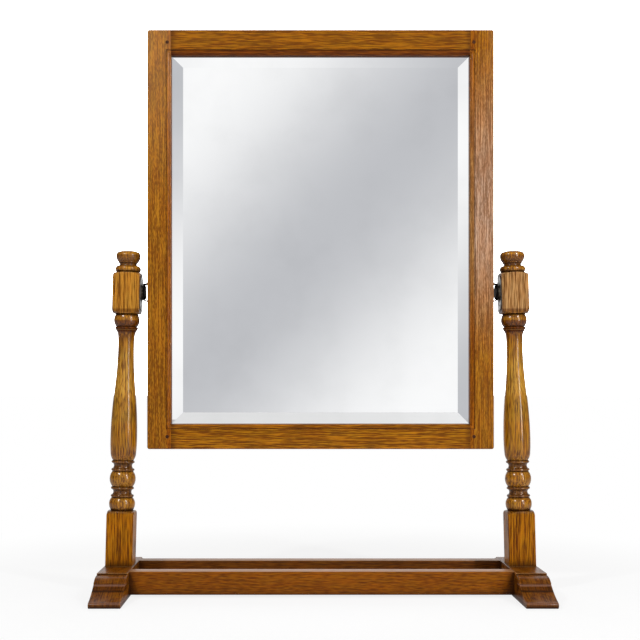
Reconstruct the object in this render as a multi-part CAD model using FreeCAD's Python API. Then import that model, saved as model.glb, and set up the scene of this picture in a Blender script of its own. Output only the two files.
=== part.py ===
import FreeCAD, Part
import math
import os

# Oak table-top swing mirror: a bevelled glass in a pegged oak frame, hung by two friction
# pivots between a pair of turned posts. The posts stand on moulded sledge feet, joined by a
# front and a rear stretcher. Millimetres, +Z up, the glass faces -Y, and the origin lies on
# the floor at the centre of the object.

# ---------------------------------------------------------------- driving dimensions
# Mirror frame
FRAME_WIDTH = 430.0
FRAME_HEIGHT = 520.0
FRAME_THICKNESS = 22.0
STILE_WIDTH = 29.5
RAIL_WIDTH = 31.0
FRAME_EASING = 1.6             # rounding of the outer arrises
OVOLO_RADIUS = 5.4             # sight moulding
QUIRK_WIDTH = 0.9
QUIRK_DEPTH = 1.2
SIGHT_LIP = 3.0                # wood left between the moulding and the rebate
GLASS_REBATE = 8.0             # width of the rebate behind the lip
BOARD_REBATE = 14.0            # width of the wider rebate for the backboard
TENON_THICKNESS = 7.0
TENON_LENGTH = 22.0
TENON_SHOULDER = 3.5           # inset of the tenon from the outer edge of the rail
PEG_DIAMETER = 5.0
PEG_INSET = 4.6                # peg centre from the joint line
PEG_DEPTH = 16.0
PEG_PROUD = 0.2

# Glass, its packing and the backboard
GLASS_THICKNESS = 5.0
BEVEL_WIDTH = 22.0
BEVEL_DROP = 2.3
BLOCK_WIDTH = 7.0              # glazing blocks glued behind the glass
BLOCK_LENGTH = 36.0
BLOCK_CENTRES = 0.27           # place of the blocks along each side, from its middle
BOARD_THICKNESS = 5.0
BOARD_SCREW_SPACING = 130.0

# Pivot
PIVOT_HEIGHT = 371.0
PIVOT_ABOVE_RAIL = 195.0       # pivot axis above the bottom edge of the frame
POST_GAP = 9.0                 # between the post and the stile at the pivot

# Feet and stretchers
FOOT_LENGTH = 254.0
FOOT_WIDTH = 37.0
FOOT_HEIGHT = 31.2
FOOT_FLAT = 132.0              # level top of the foot
FOOT_QUIRK = 1.6
THUMB_LENGTH = 22.5            # convex moulding below the quirk
THUMB_HEIGHT = 6.4
THUMB_STEP = 1.6
NOSE_HEIGHT = 7.2
NOSE_SETBACK = 3.5
SWEEP_HOLLOW = 1.4             # depth of the hollow between the moulding and the toe
STRETCHER_HEIGHT = 28.0
STRETCHER_THICKNESS = 21.0
STRETCHER_SPACING = 88.0
STUB_LENGTH = 10.0             # stub tenons of the stretchers
STUB_INSET = 5.0

# Posts, from the foot upwards
POST_SIZE = 33.4
POST_RAKE = 1.5                # outward lean towards the foot, in degrees
POST_EASING = 1.1
POST_TENON_DIAMETER = 16.0
POST_TENON_LENGTH = 22.0
BASE_LENGTH = 68.4             # square base, with its turned shoulder
BASE_SHOULDER = 14.0
NECK_DIAMETER = 27.2           # where a turned shoulder meets the next member
BALL_DIAMETER = 32.2
LOWER_BALL_LENGTH = 16.4
UPPER_BALL_LENGTH = 19.6
GROOVE_DIAMETER = 25.2
RING_DIAMETER = 28.6
RING_LENGTH = 3.3
COVE_DIAMETER = 22.4
COVE_LENGTH = 6.4
VASE_DIAMETER = 33.0
VASE_FOOT_LENGTH = 25.7        # from the vase's widest part down to its foot
VASE_NECK_DIAMETER = 19.9
TRUMPET_LENGTH = 20.0          # flare from the vase's neck up to the top ring
TRUMPET_RISE = 0.5
TRUMPET_MOUTH_DIAMETER = 27.0
BEAD_DIAMETER = 32.0
BEAD_LENGTH = 16.0
BLOCK_ABOVE_PIVOT = 24.8       # square block that carries the pivot
BLOCK_BELOW_PIVOT = 27.0
BLOCK_SHOULDER = 14.5
COLLAR_DIAMETER = 31.8
COLLAR_LENGTH = 8.4
FINIAL_NECK_DIAMETER = 22.0
FINIAL_NECK_LENGTH = 4.6
CAP_RING_DIAMETER = 24.4
CAP_DIAMETER = 30.4
CAP_CUP_LENGTH = 7.6
CAP_DOME_LENGTH = 7.3
CAP_RING_LIP = 0.35

# Shares that give the curves of the posts their character
VASE_KNEE_WIDTH = 0.955        # of the vase's radius
VASE_KNEE_HEIGHT = 0.33        # of the length of the vase's foot
VASE_TURN = 0.52               # where the taper turns from full to hollow
TRUMPET_TURN = 0.6             # where the flare quickens
CAP_RIM = 0.88                 # of the cap's radius, where its edge turns to the dome
CAP_RIM_RISE = 0.62

# Pivot plates, cups, brackets and studs
PLATE_LENGTH = 44.0
PLATE_WIDTH = 24.0
PLATE_THICKNESS = 1.6
PLATE_LET_IN = 0.6
PLATE_SCREW_SPACING = 32.0
CUP_BASE_DIAMETER = 19.5
CUP_FACE_DIAMETER = 16.5
CUP_HEIGHT = 1.8
BRACKET_WIDTH = 13.0
BRACKET_THICKNESS = 1.0
BRACKET_LET_IN = 0.6
BRACKET_FLARE = 1.5            # how far each leg spreads from the crown to the stile
BRACKET_FOOT = 13.0
STUD_DIAMETER = 6.0
STUD_REACH = 8.0               # length of the pin inside the post
DISC_DIAMETER = 17.6
DISC_THICKNESS = 2.0
DISC_CHAMFER = 0.6

# Countersunk screws
SCREW_HEAD_DIAMETER = 6.0
SCREW_HEAD_HEIGHT = 1.6
SCREW_DIAMETER = 3.0
SCREW_LENGTH = 13.0
SLOT_WIDTH = 0.8
SLOT_DEPTH = 0.6

# Clearances
GLASS_CLEARANCE = 0.5          # glass edge to rebate
BOARD_CLEARANCE = 0.3          # backboard edge to rebate
TOUCH_CLEARANCE = 0.1          # lip to bevel, and glazing block to backboard
RUNNING_CLEARANCE = 0.05       # stud to cup, on the radius
CROWN_CLEARANCE = 0.3          # bracket crown to cup
DISC_CLEARANCE = 0.3           # disc of the stud to the legs of the bracket
TENON_RELIEF = 1.0             # space left beyond the end of a tenon
SCREW_EDGE = 0.3               # backboard screw head to the edge of the board
BORE_CLEARANCE = 0.5           # stud to the blind bore in the post
CUTTER_MARGIN = 1.0            # how far a cutting solid runs past the wood

# ---------------------------------------------------------------- sizes worked out
frame_bottom = PIVOT_HEIGHT - PIVOT_ABOVE_RAIL
frame_top = frame_bottom + FRAME_HEIGHT
frame_side = FRAME_WIDTH / 2
frame_front = -FRAME_THICKNESS / 2
frame_back = FRAME_THICKNESS / 2
sight_side = frame_side - STILE_WIDTH
sight_bottom = frame_bottom + RAIL_WIDTH
sight_top = frame_top - RAIL_WIDTH
sight_half_height = (sight_top - sight_bottom) / 2
frame_middle = (frame_bottom + frame_top) / 2
moulding_width = OVOLO_RADIUS + QUIRK_WIDTH
moulding_depth = OVOLO_RADIUS + QUIRK_DEPTH
lip_back = frame_front + moulding_depth + SIGHT_LIP
bevel_slope = BEVEL_DROP / BEVEL_WIDTH
bevel_shown = BEVEL_WIDTH - (GLASS_REBATE - GLASS_CLEARANCE)
glass_front = lip_back + TOUCH_CLEARANCE - bevel_slope * bevel_shown
glass_back = glass_front + GLASS_THICKNESS
board_front = frame_back - BOARD_THICKNESS

post_face = frame_side + POST_GAP
post_at_pivot = post_face + POST_SIZE / 2
rake_slope = math.tan(math.radians(POST_RAKE))
foot_centre = post_at_pivot + (PIVOT_HEIGHT - FOOT_HEIGHT) * rake_slope
pivot_up_post = (PIVOT_HEIGHT - FOOT_HEIGHT) / math.cos(math.radians(POST_RAKE))
over_corners = POST_SIZE * 0.75    # radius that clears the corners of the square stock
foot_inner_face = foot_centre - FOOT_WIDTH / 2

plate_proud = PLATE_THICKNESS - PLATE_LET_IN
cup_face = post_face - plate_proud - CUP_HEIGHT
crown_outer = cup_face - CROWN_CLEARANCE
crown_inner = crown_outer - BRACKET_THICKNESS
bracket_face = frame_side + BRACKET_THICKNESS - BRACKET_LET_IN

LEFT = -1
RIGHT = 1


# ---------------------------------------------------------------- helpers
def box(x_range, y_range, z_range):
    """Block between the given pairs of limits, each given in either order."""
    low = FreeCAD.Vector(min(x_range), min(y_range), min(z_range))
    high = FreeCAD.Vector(max(x_range), max(y_range), max(z_range))
    size = high - low
    return Part.makeBox(size.x, size.y, size.z, low)


def rod(diameter, length, start, direction):
    """Cylinder of one diameter from a starting point along a direction."""
    return Part.makeCylinder(diameter / 2, length, start, direction)


def fused(shapes):
    """One shape from several that touch or overlap."""
    return shapes[0].fuse(list(shapes[1:])).removeSplitter()


def side_copy(shape, side):
    """The shape as made for the right side, or its mirror image for the left."""
    if side == RIGHT:
        return shape
    return shape.mirror(FreeCAD.Vector(0, 0, 0), FreeCAD.Vector(1, 0, 0))


def on_post(shape):
    """Move a shape from the right post's own upright frame to its raked place.

    In its own frame the post stands on the origin, with its axis along +Z.
    """
    placed = shape.copy()
    placed.rotate(FreeCAD.Vector(0, 0, 0), FreeCAD.Vector(0, 1, 0), -POST_RAKE)
    placed.translate(FreeCAD.Vector(foot_centre, 0, FOOT_HEIGHT))
    return placed


class Outline:
    """Closed flat outline, drawn point by point in a plane of two coordinates.

    Each point is (across, up). For a turned piece they are the radius and the height.
    """

    def __init__(self, start):
        self.start = start
        self.point = start
        self.heading = (0.0, 1.0)
        self.edges = []

    def place(self, point):
        """Space point of a flat point, in the XZ plane."""
        return FreeCAD.Vector(point[0], 0, point[1])

    def line(self, end):
        """Straight edge to a point."""
        run = math.hypot(end[0] - self.point[0], end[1] - self.point[1])
        self.heading = ((end[0] - self.point[0]) / run, (end[1] - self.point[1]) / run)
        self.edges.append(Part.makeLine(self.place(self.point), self.place(end)))
        self.point = end

    def arc(self, heading, end):
        """Arc that leaves along a heading and ends at a point."""
        chord = (end[0] - self.point[0], end[1] - self.point[1])
        length = math.hypot(chord[0], chord[1])
        turn = math.atan2(chord[1], chord[0]) - math.atan2(heading[1], heading[0])
        turn = math.atan2(math.sin(turn), math.cos(turn))
        rise = length / 2 * math.tan(turn / 2)
        middle = (
            self.point[0] + chord[0] / 2 + chord[1] / length * rise,
            self.point[1] + chord[1] / 2 - chord[0] / length * rise,
        )
        curve = Part.Arc(self.place(self.point), self.place(middle), self.place(end))
        self.edges.append(curve.toShape())
        leaving = math.atan2(heading[1], heading[0]) + 2 * turn
        self.heading = (math.cos(leaving), math.sin(leaving))
        self.point = end

    def smooth_arc(self, end):
        """Arc that carries on smoothly from the last edge to a point."""
        self.arc(self.heading, end)

    def arrive(self, heading, end):
        """Arc that reaches a point along a heading."""
        chord = math.atan2(end[1] - self.point[1], end[0] - self.point[0])
        lead = 2 * chord - math.atan2(heading[1], heading[0])
        self.arc((math.cos(lead), math.sin(lead)), end)

    def bulge(self, depth, end):
        """Arc to a point that stands out to its right by a depth at the middle."""
        chord = (end[0] - self.point[0], end[1] - self.point[1])
        half = math.hypot(chord[0], chord[1]) / 2
        lead = math.atan2(chord[1], chord[0]) - 2 * math.atan2(depth, half)
        self.arc((math.cos(lead), math.sin(lead)), end)

    def face(self):
        """Face inside the outline, closed by a straight edge where it is open."""
        gap = math.hypot(self.start[0] - self.point[0], self.start[1] - self.point[1])
        if gap > 0:
            self.line(self.start)
        return Part.Face(Part.Wire(self.edges))


def screw(head_point, direction):
    """Slotted countersunk screw with the face of its head at a point.

    The direction is the way it is driven.
    """
    direction = FreeCAD.Vector(direction).normalize()
    head = Part.makeCone(
        SCREW_HEAD_DIAMETER / 2, SCREW_DIAMETER / 2, SCREW_HEAD_HEIGHT, head_point, direction)
    shank = rod(SCREW_DIAMETER, SCREW_LENGTH, head_point, direction)
    body = fused([head, shank])
    slot = Part.makeBox(SLOT_WIDTH, SCREW_HEAD_DIAMETER, SLOT_DEPTH)
    slot.translate(FreeCAD.Vector(-SLOT_WIDTH / 2, -SCREW_HEAD_DIAMETER / 2, 0))
    slot.Placement = FreeCAD.Placement(
        head_point, FreeCAD.Rotation(FreeCAD.Vector(0, 0, 1), direction)).multiply(slot.Placement)
    return body.cut(slot)


def screw_hole(head_point, direction):
    """Hole that a countersunk screw fills."""
    direction = FreeCAD.Vector(direction).normalize()
    head = Part.makeCone(
        SCREW_HEAD_DIAMETER / 2, SCREW_DIAMETER / 2, SCREW_HEAD_HEIGHT, head_point, direction)
    return fused([head, rod(SCREW_DIAMETER, SCREW_LENGTH, head_point, direction)])


# ---------------------------------------------------------------- feet and stretchers
def foot_half_outline():
    """Right-hand half of a foot's side outline, as (distance from centre, height) edges."""
    flat = FOOT_FLAT / 2
    toe = FOOT_LENGTH / 2
    thumb_top = FOOT_HEIGHT - FOOT_QUIRK
    thumb_end = flat + THUMB_LENGTH
    sweep_top = thumb_top - THUMB_HEIGHT - THUMB_STEP
    outline = Outline((0, 0))
    outline.line((toe - NOSE_SETBACK, 0))
    outline.arc((1, 0), (toe, NOSE_HEIGHT / 2))
    outline.smooth_arc((toe - NOSE_SETBACK, NOSE_HEIGHT))
    outline.bulge(-SWEEP_HOLLOW, (thumb_end, sweep_top))
    outline.line((thumb_end, sweep_top + THUMB_STEP))
    outline.bulge(THUMB_HEIGHT / 3, (flat, thumb_top))
    outline.line((flat, FOOT_HEIGHT))
    outline.line((0, FOOT_HEIGHT))
    return outline.face()


def foot_blank():
    """Moulded foot before its joints are cut, on the right side."""
    half = foot_half_outline()
    half.rotate(FreeCAD.Vector(0, 0, 0), FreeCAD.Vector(0, 0, 1), 90)
    back = half.extrude(FreeCAD.Vector(FOOT_WIDTH, 0, 0))
    front = back.mirror(FreeCAD.Vector(0, 0, 0), FreeCAD.Vector(0, 1, 0))
    blank = fused([back, front])
    blank.translate(FreeCAD.Vector(foot_inner_face, 0, 0))
    return blank


def stretcher(centre_y):
    """Stretcher with a stub tenon at each end."""
    low = FOOT_HEIGHT - STRETCHER_HEIGHT
    half = STRETCHER_THICKNESS / 2
    rail = box(
        (-foot_inner_face, foot_inner_face), (centre_y - half, centre_y + half), (low, FOOT_HEIGHT))
    long_edges = [edge for edge in rail.Edges if abs(edge.tangentAt(edge.FirstParameter).x) > 0.5]
    rail = rail.makeFillet(POST_EASING, long_edges)
    stub_reach = foot_inner_face + STUB_LENGTH
    stub = box(
        (-stub_reach, stub_reach),
        (centre_y - half + STUB_INSET, centre_y + half - STUB_INSET),
        (low + STUB_INSET, FOOT_HEIGHT - STUB_INSET))
    return fused([rail, stub])


# ---------------------------------------------------------------- posts
def ball_member(outline, length, diameter, end_diameter):
    """Turned ball or bead of a length, from the point that the outline has reached."""
    base = outline.point[1]
    outline.arrive((0, 1), (diameter / 2, base + length / 2))
    outline.smooth_arc((end_diameter / 2, base + length))


def ring_member(outline):
    """Thin half-round ring, from the point that the outline has reached."""
    base = outline.point[1]
    outline.bulge((RING_DIAMETER - GROOVE_DIAMETER) / 2, (GROOVE_DIAMETER / 2, base + RING_LENGTH))


def cove_member(outline):
    """Hollow between two rings."""
    base = outline.point[1]
    outline.bulge(-(GROOVE_DIAMETER - COVE_DIAMETER) / 2, (GROOVE_DIAMETER / 2, base + COVE_LENGTH))


def ring_pair(outline):
    """Ring, cove and ring."""
    ring_member(outline)
    cove_member(outline)
    ring_member(outline)


def shoulder(outline, length, rising):
    """Turned shoulder at the end of a square section.

    The square's corners roll over to the neck at the top of a section when rising is false,
    and from the neck out to the corners at its bottom when rising is true.
    """
    base = outline.point[1]
    if rising:
        outline.arc((1, 0), (over_corners, base + length))
    else:
        outline.arrive((-1, 0), (NECK_DIAMETER / 2, base + length))


def vase_member(outline, length):
    """Long vase: a full foot, a widest part, and a slow taper to a thin neck."""
    base = outline.point[1]
    widest = base + VASE_FOOT_LENGTH
    top = base + length
    radius = VASE_DIAMETER / 2
    neck = VASE_NECK_DIAMETER / 2
    knee = (radius * VASE_KNEE_WIDTH, base + VASE_FOOT_LENGTH * VASE_KNEE_HEIGHT)
    rise = math.atan2(widest - knee[1], radius - knee[0])
    into_widest = (math.cos(2 * rise - math.pi / 2), math.sin(2 * rise - math.pi / 2))
    outline.arrive(into_widest, knee)
    outline.smooth_arc((radius, widest))
    turn = (
        radius + (neck - radius) * VASE_TURN,
        widest + (top - widest) * VASE_TURN,
    )
    outline.arc((0, 1), turn)
    outline.smooth_arc((neck, top))


def trumpet_member(outline):
    """Flare from the neck of the vase up to the ring above it."""
    base = outline.point[1]
    waist = outline.point[0]
    outline.arc((0, 1), (waist + TRUMPET_RISE, base + TRUMPET_LENGTH * TRUMPET_TURN))
    outline.smooth_arc((TRUMPET_MOUTH_DIAMETER / 2, base + TRUMPET_LENGTH))
    outline.line((GROOVE_DIAMETER / 2, base + TRUMPET_LENGTH))


def members_below_vase():
    """Length of the turned members between the base and the vase."""
    ring_pair_length = 2 * RING_LENGTH + COVE_LENGTH
    return LOWER_BALL_LENGTH + UPPER_BALL_LENGTH + 2 * ring_pair_length


def turned_envelope():
    """Solid that the lathe leaves: the square sections as plain rounds over the corners."""
    block_bottom = pivot_up_post - BLOCK_BELOW_PIVOT
    vase_foot = BASE_LENGTH + members_below_vase()
    vase_length = block_bottom - BEAD_LENGTH - RING_LENGTH - TRUMPET_LENGTH - vase_foot

    outline = Outline((0, -CUTTER_MARGIN))
    outline.line((over_corners, -CUTTER_MARGIN))
    outline.line((over_corners, BASE_LENGTH - BASE_SHOULDER))
    shoulder(outline, BASE_SHOULDER, rising=False)
    ball_member(outline, LOWER_BALL_LENGTH, BALL_DIAMETER, GROOVE_DIAMETER)
    ring_pair(outline)
    ball_member(outline, UPPER_BALL_LENGTH, BALL_DIAMETER, GROOVE_DIAMETER)
    ring_pair(outline)
    vase_member(outline, vase_length)
    trumpet_member(outline)
    ring_member(outline)
    ball_member(outline, BEAD_LENGTH, BEAD_DIAMETER, NECK_DIAMETER)
    shoulder(outline, BLOCK_SHOULDER, rising=True)
    outline.line((over_corners, pivot_up_post + BLOCK_ABOVE_PIVOT - BLOCK_SHOULDER))
    shoulder(outline, BLOCK_SHOULDER, rising=False)
    finial_members(outline)
    return outline.face().revolve(FreeCAD.Vector(0, 0, 0), FreeCAD.Vector(0, 0, 1), 360)


def finial_members(outline):
    """Collar, neck, ring and domed cap on top of the block."""
    neck = FINIAL_NECK_DIAMETER / 2
    ball_member(outline, COLLAR_LENGTH, COLLAR_DIAMETER, FINIAL_NECK_DIAMETER)
    cap_base = outline.point[1] + FINIAL_NECK_LENGTH
    widest = cap_base + CAP_CUP_LENGTH
    top = widest + CAP_DOME_LENGTH
    outline.bulge(-CAP_RING_LIP, (neck, cap_base - RING_LENGTH / 2))
    outline.bulge(CAP_RING_LIP, (CAP_RING_DIAMETER / 2, cap_base))
    outline.arrive((0, 1), (CAP_DIAMETER / 2, widest))
    outline.smooth_arc((CAP_DIAMETER / 2 * CAP_RIM, widest + CAP_DOME_LENGTH * CAP_RIM_RISE))
    outline.arrive((-1, 0), (0, top))


def post(side):
    """Post turned from square stock, with its tenon and the seats for the pivot."""
    top = pivot_up_post + BLOCK_ABOVE_PIVOT + COLLAR_LENGTH + FINIAL_NECK_LENGTH
    top += CAP_CUP_LENGTH + CAP_DOME_LENGTH
    half = POST_SIZE / 2
    stock = box((-half, half), (-half, half), (-CUTTER_MARGIN, top))
    arrises = [edge for edge in stock.Edges if abs(edge.tangentAt(edge.FirstParameter).z) > 0.5]
    stock = stock.makeFillet(POST_EASING, arrises)
    turned = on_post(turned_envelope().common(stock))
    below_foot_top = box(
        (foot_centre - POST_SIZE, foot_centre + POST_SIZE),
        (-POST_SIZE, POST_SIZE),
        (0, FOOT_HEIGHT))
    body = turned.cut(below_foot_top).fuse(on_post(post_tenon(POST_TENON_LENGTH)))
    body = body.cut(on_post(plate_slab()))
    body = body.cut(stud_bore())
    for hole in plate_screw_solids(screw_hole):
        body = body.cut(hole)
    return side_copy(body.removeSplitter(), side)


def post_tenon(length):
    """Round tenon under the post, in the post's own frame."""
    start = FreeCAD.Vector(0, 0, POST_TENON_DIAMETER)
    return rod(POST_TENON_DIAMETER, POST_TENON_DIAMETER + length, start, FreeCAD.Vector(0, 0, -1))


def foot(side):
    """Moulded foot with its bore for the post and its sockets for the stretchers."""
    body = foot_blank().cut(on_post(post_tenon(POST_TENON_LENGTH + TENON_RELIEF)))
    for centre_y in (-STRETCHER_SPACING / 2, STRETCHER_SPACING / 2):
        body = body.cut(stretcher(centre_y))
    return side_copy(body, side)


# ---------------------------------------------------------------- pivots
def plate_slab():
    """Round-ended pivot plate without its holes, in the post's own frame."""
    inner = -POST_SIZE / 2 - plate_proud
    outer = inner + PLATE_THICKNESS
    half = PLATE_WIDTH / 2
    straight = PLATE_LENGTH / 2 - half
    slab = box(
        (inner, outer), (-half, half), (pivot_up_post - straight, pivot_up_post + straight))
    ends = [
        rod(PLATE_WIDTH, PLATE_THICKNESS, FreeCAD.Vector(inner, 0, pivot_up_post + end * straight),
            FreeCAD.Vector(1, 0, 0))
        for end in (-1, 1)
    ]
    return fused([slab] + ends)


def plate_screw_solids(make):
    """Screws of one plate, or the holes that they fill, on the right side."""
    face = -POST_SIZE / 2 - plate_proud
    points = [
        FreeCAD.Vector(face, 0, pivot_up_post + end * PLATE_SCREW_SPACING / 2) for end in (-1, 1)
    ]
    return [on_post(make(point, FreeCAD.Vector(1, 0, 0))) for point in points]


def pivot_rod(diameter, start_x, end_x):
    """Round bar on the pivot axis between two places along X."""
    return rod(
        diameter, end_x - start_x, FreeCAD.Vector(start_x, 0, PIVOT_HEIGHT),
        FreeCAD.Vector(1, 0, 0))


def stud_bore():
    """Blind bore in the post that clears the end of the stud."""
    return pivot_rod(
        STUD_DIAMETER + 2 * BORE_CLEARANCE, frame_side, post_face + STUD_REACH + BORE_CLEARANCE)


def stud_hole():
    """Running hole for the stud, through the plate and the cup."""
    return pivot_rod(STUD_DIAMETER + 2 * RUNNING_CLEARANCE, frame_side, post_face + POST_SIZE)


def pivot_plate(side):
    """Steel plate let into the inner face of the block."""
    plate = on_post(plate_slab()).cut(stud_hole())
    for hole in plate_screw_solids(screw_hole):
        plate = plate.cut(hole)
    return side_copy(plate, side)


def pivot_cup(side):
    """Coned cup on the plate that the stud turns in, square to the pivot axis."""
    flare = (CUP_BASE_DIAMETER - CUP_FACE_DIAMETER) / 2 / CUP_HEIGHT
    sunk = CUP_HEIGHT + PLATE_LET_IN
    cup = Part.makeCone(
        CUP_FACE_DIAMETER / 2, CUP_FACE_DIAMETER / 2 + flare * sunk, sunk,
        FreeCAD.Vector(cup_face, 0, PIVOT_HEIGHT), FreeCAD.Vector(1, 0, 0))
    behind_plate_face = on_post(box(
        (-POST_SIZE / 2 - plate_proud, POST_SIZE),
        (-PLATE_LENGTH, PLATE_LENGTH),
        (pivot_up_post - PLATE_LENGTH, pivot_up_post + PLATE_LENGTH)))
    return side_copy(cup.cut(behind_plate_face).cut(stud_hole()), side)


def bracket_strip():
    """Hat-shaped steel strip on the right stile, without its holes."""
    crown = DISC_DIAMETER / 2 + DISC_CLEARANCE + BRACKET_THICKNESS
    spread = crown + BRACKET_FLARE
    inner = BRACKET_THICKNESS
    outline = Outline((crown_outer, -crown))
    outline.line((crown_outer, crown))
    outline.line((bracket_face, spread))
    outline.line((bracket_face, spread + BRACKET_FOOT))
    outline.line((bracket_face - inner, spread + BRACKET_FOOT))
    outline.line((bracket_face - inner, spread - inner))
    outline.line((crown_inner, crown - inner))
    outline.line((crown_inner, -crown + inner))
    outline.line((bracket_face - inner, -spread + inner))
    outline.line((bracket_face - inner, -spread - BRACKET_FOOT))
    outline.line((bracket_face, -spread - BRACKET_FOOT))
    outline.line((bracket_face, -spread))
    strip = outline.face()
    strip.translate(FreeCAD.Vector(0, -BRACKET_WIDTH / 2, PIVOT_HEIGHT))
    strip = strip.extrude(FreeCAD.Vector(0, BRACKET_WIDTH, 0))
    bends = [
        edge for edge in strip.Edges
        if abs(edge.tangentAt(edge.FirstParameter).y) > 0.5
        and abs(edge.CenterOfMass.x - crown_outer) < BRACKET_THICKNESS / 2
    ]
    return strip.makeFillet(BRACKET_THICKNESS, bends)


def bracket_screw_solids(make):
    """Screws of one bracket, or the holes that they fill, on the right side."""
    reach = DISC_DIAMETER / 2 + DISC_CLEARANCE + BRACKET_THICKNESS + BRACKET_FLARE
    reach += BRACKET_FOOT / 2
    return [
        make(FreeCAD.Vector(bracket_face, 0, PIVOT_HEIGHT + end * reach), FreeCAD.Vector(-1, 0, 0))
        for end in (-1, 1)
    ]


def pivot_bracket(side):
    """Hat-shaped bracket that carries the stud clear of the stile."""
    strip = bracket_strip().cut(pivot_rod(STUD_DIAMETER, frame_side, post_face))
    for hole in bracket_screw_solids(screw_hole):
        strip = strip.cut(hole)
    return side_copy(strip, side)


def pivot_stud(side):
    """Pin with a disc, riveted through the crown of the bracket."""
    disc = pivot_rod(DISC_DIAMETER, crown_inner - DISC_THICKNESS, crown_inner)
    rims = [edge for edge in disc.Edges if abs(edge.Length - math.pi * DISC_DIAMETER) < 0.01]
    disc = disc.makeChamfer(DISC_CHAMFER, rims)
    pin = pivot_rod(STUD_DIAMETER, crown_inner - DISC_THICKNESS / 2, post_face + STUD_REACH)
    return side_copy(fused([disc, pin]), side)


# ---------------------------------------------------------------- mirror frame
def around_frame(shape, quarter_turns):
    """Move a shape made for the right side of the frame, centred on it, round to a side.

    No quarter turns is the right side, one the top, two the left and three the bottom.
    """
    placed = shape.copy()
    placed.rotate(FreeCAD.Vector(0, 0, 0), FreeCAD.Vector(0, 1, 0), -90 * quarter_turns)
    placed.translate(FreeCAD.Vector(0, 0, frame_middle))
    return placed


def half_opening(quarter_turns):
    """Distance from the centre of the frame to the sight edge on a side."""
    return sight_side if quarter_turns % 2 == 0 else sight_half_height


def moulding_cutter(quarter_turns):
    """Solid cut from the wood to leave the sight moulding along one side."""
    out = half_opening(quarter_turns)
    length = 2 * half_opening(quarter_turns + 1)
    outline = Outline((-CUTTER_MARGIN, -CUTTER_MARGIN))
    outline.line((moulding_width, -CUTTER_MARGIN))
    outline.line((moulding_width, QUIRK_DEPTH))
    outline.line((OVOLO_RADIUS, QUIRK_DEPTH))
    outline.arc((-1, 0), (0, moulding_depth))
    outline.line((-CUTTER_MARGIN, moulding_depth))
    section = outline.face()
    section.rotate(FreeCAD.Vector(0, 0, 0), FreeCAD.Vector(1, 0, 0), -90)
    section.translate(FreeCAD.Vector(out, frame_front, -length / 2))
    return around_frame(section.extrude(FreeCAD.Vector(0, 0, length)), quarter_turns)


def frame_stock():
    """Outer shape of the whole frame, with its arrises rounded."""
    stock = box((-frame_side, frame_side), (frame_front, frame_back), (frame_bottom, frame_top))
    return stock.makeFillet(FRAME_EASING, stock.Edges)


def frame_pockets():
    """Rebates for the glass and for the backboard, seen from behind, as solids."""
    return [
        box((-sight_side - width, sight_side + width),
            (front, frame_back + CUTTER_MARGIN),
            (sight_bottom - width, sight_top + width))
        for width, front in ((GLASS_REBATE, lip_back), (BOARD_REBATE, board_front))
    ]


def peg_solids():
    """The four pegs that pin the corner joints."""
    rail_centres = (frame_bottom + RAIL_WIDTH / 2, frame_top - RAIL_WIDTH / 2)
    return [
        rod(PEG_DIAMETER, PEG_DEPTH + PEG_PROUD,
            FreeCAD.Vector(side * (sight_side + PEG_INSET), frame_front - PEG_PROUD, height),
            FreeCAD.Vector(0, 1, 0))
        for side in (LEFT, RIGHT) for height in rail_centres
    ]


def board_screw_solids(make):
    """Screws of the backboard, or the holes that they fill."""
    inset = BOARD_REBATE - BOARD_CLEARANCE - SCREW_HEAD_DIAMETER / 2 - SCREW_EDGE
    solids = []
    for quarter_turns in range(4):
        out = half_opening(quarter_turns) + inset
        for place in (-1, 0, 1):
            point = FreeCAD.Vector(out, frame_back, place * BOARD_SCREW_SPACING)
            single = make(point, FreeCAD.Vector(0, -1, 0))
            solids.append(around_frame(single, quarter_turns))
    return solids


def rail_tenon(at_top, extra_length=0.0):
    """Both tenons of a rail in one bar through it."""
    reach = sight_side + TENON_LENGTH + extra_length
    low = TENON_SHOULDER
    high = RAIL_WIDTH - GLASS_REBATE
    if at_top:
        z_range = (frame_top - high, frame_top - low)
    else:
        z_range = (frame_bottom + low, frame_bottom + high)
    return box((-reach, reach), (-TENON_THICKNESS / 2, TENON_THICKNESS / 2), z_range)


def rail(at_top):
    """Top or bottom rail, with its moulding, rebates and tenons."""
    z_range = (sight_top, frame_top) if at_top else (frame_bottom, sight_bottom)
    blank = box((-sight_side, sight_side), (frame_front, frame_back), z_range)
    body = frame_stock().common(blank).cut(moulding_cutter(1 if at_top else 3))
    for pocket in frame_pockets():
        body = body.cut(pocket)
    body = body.fuse(rail_tenon(at_top)).removeSplitter()
    for hole in peg_solids() + board_screw_solids(screw_hole):
        body = body.cut(hole)
    return body


def stile(side):
    """Upright of the frame, with its moulding, rebates, mortises and bracket seat."""
    blank = box((sight_side, frame_side), (frame_front, frame_back), (frame_bottom, frame_top))
    body = frame_stock().common(blank).cut(moulding_cutter(0))
    for pocket in frame_pockets():
        body = body.cut(pocket)
    for at_top in (False, True):
        body = body.cut(rail_tenon(at_top, TENON_RELIEF))
    body = body.cut(bracket_strip())
    holes = peg_solids() + board_screw_solids(screw_hole) + bracket_screw_solids(screw_hole)
    for hole in holes:
        body = body.cut(hole)
    return side_copy(body, side)


# ---------------------------------------------------------------- glass and backboard
def rectangle(half_width, half_height, place_y):
    """Upright rectangle about the centre of the frame."""
    corners = [
        FreeCAD.Vector(x * half_width, place_y, frame_middle + z * half_height)
        for x, z in ((-1, -1), (1, -1), (1, 1), (-1, 1), (-1, -1))
    ]
    return Part.makePolygon(corners)


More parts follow.
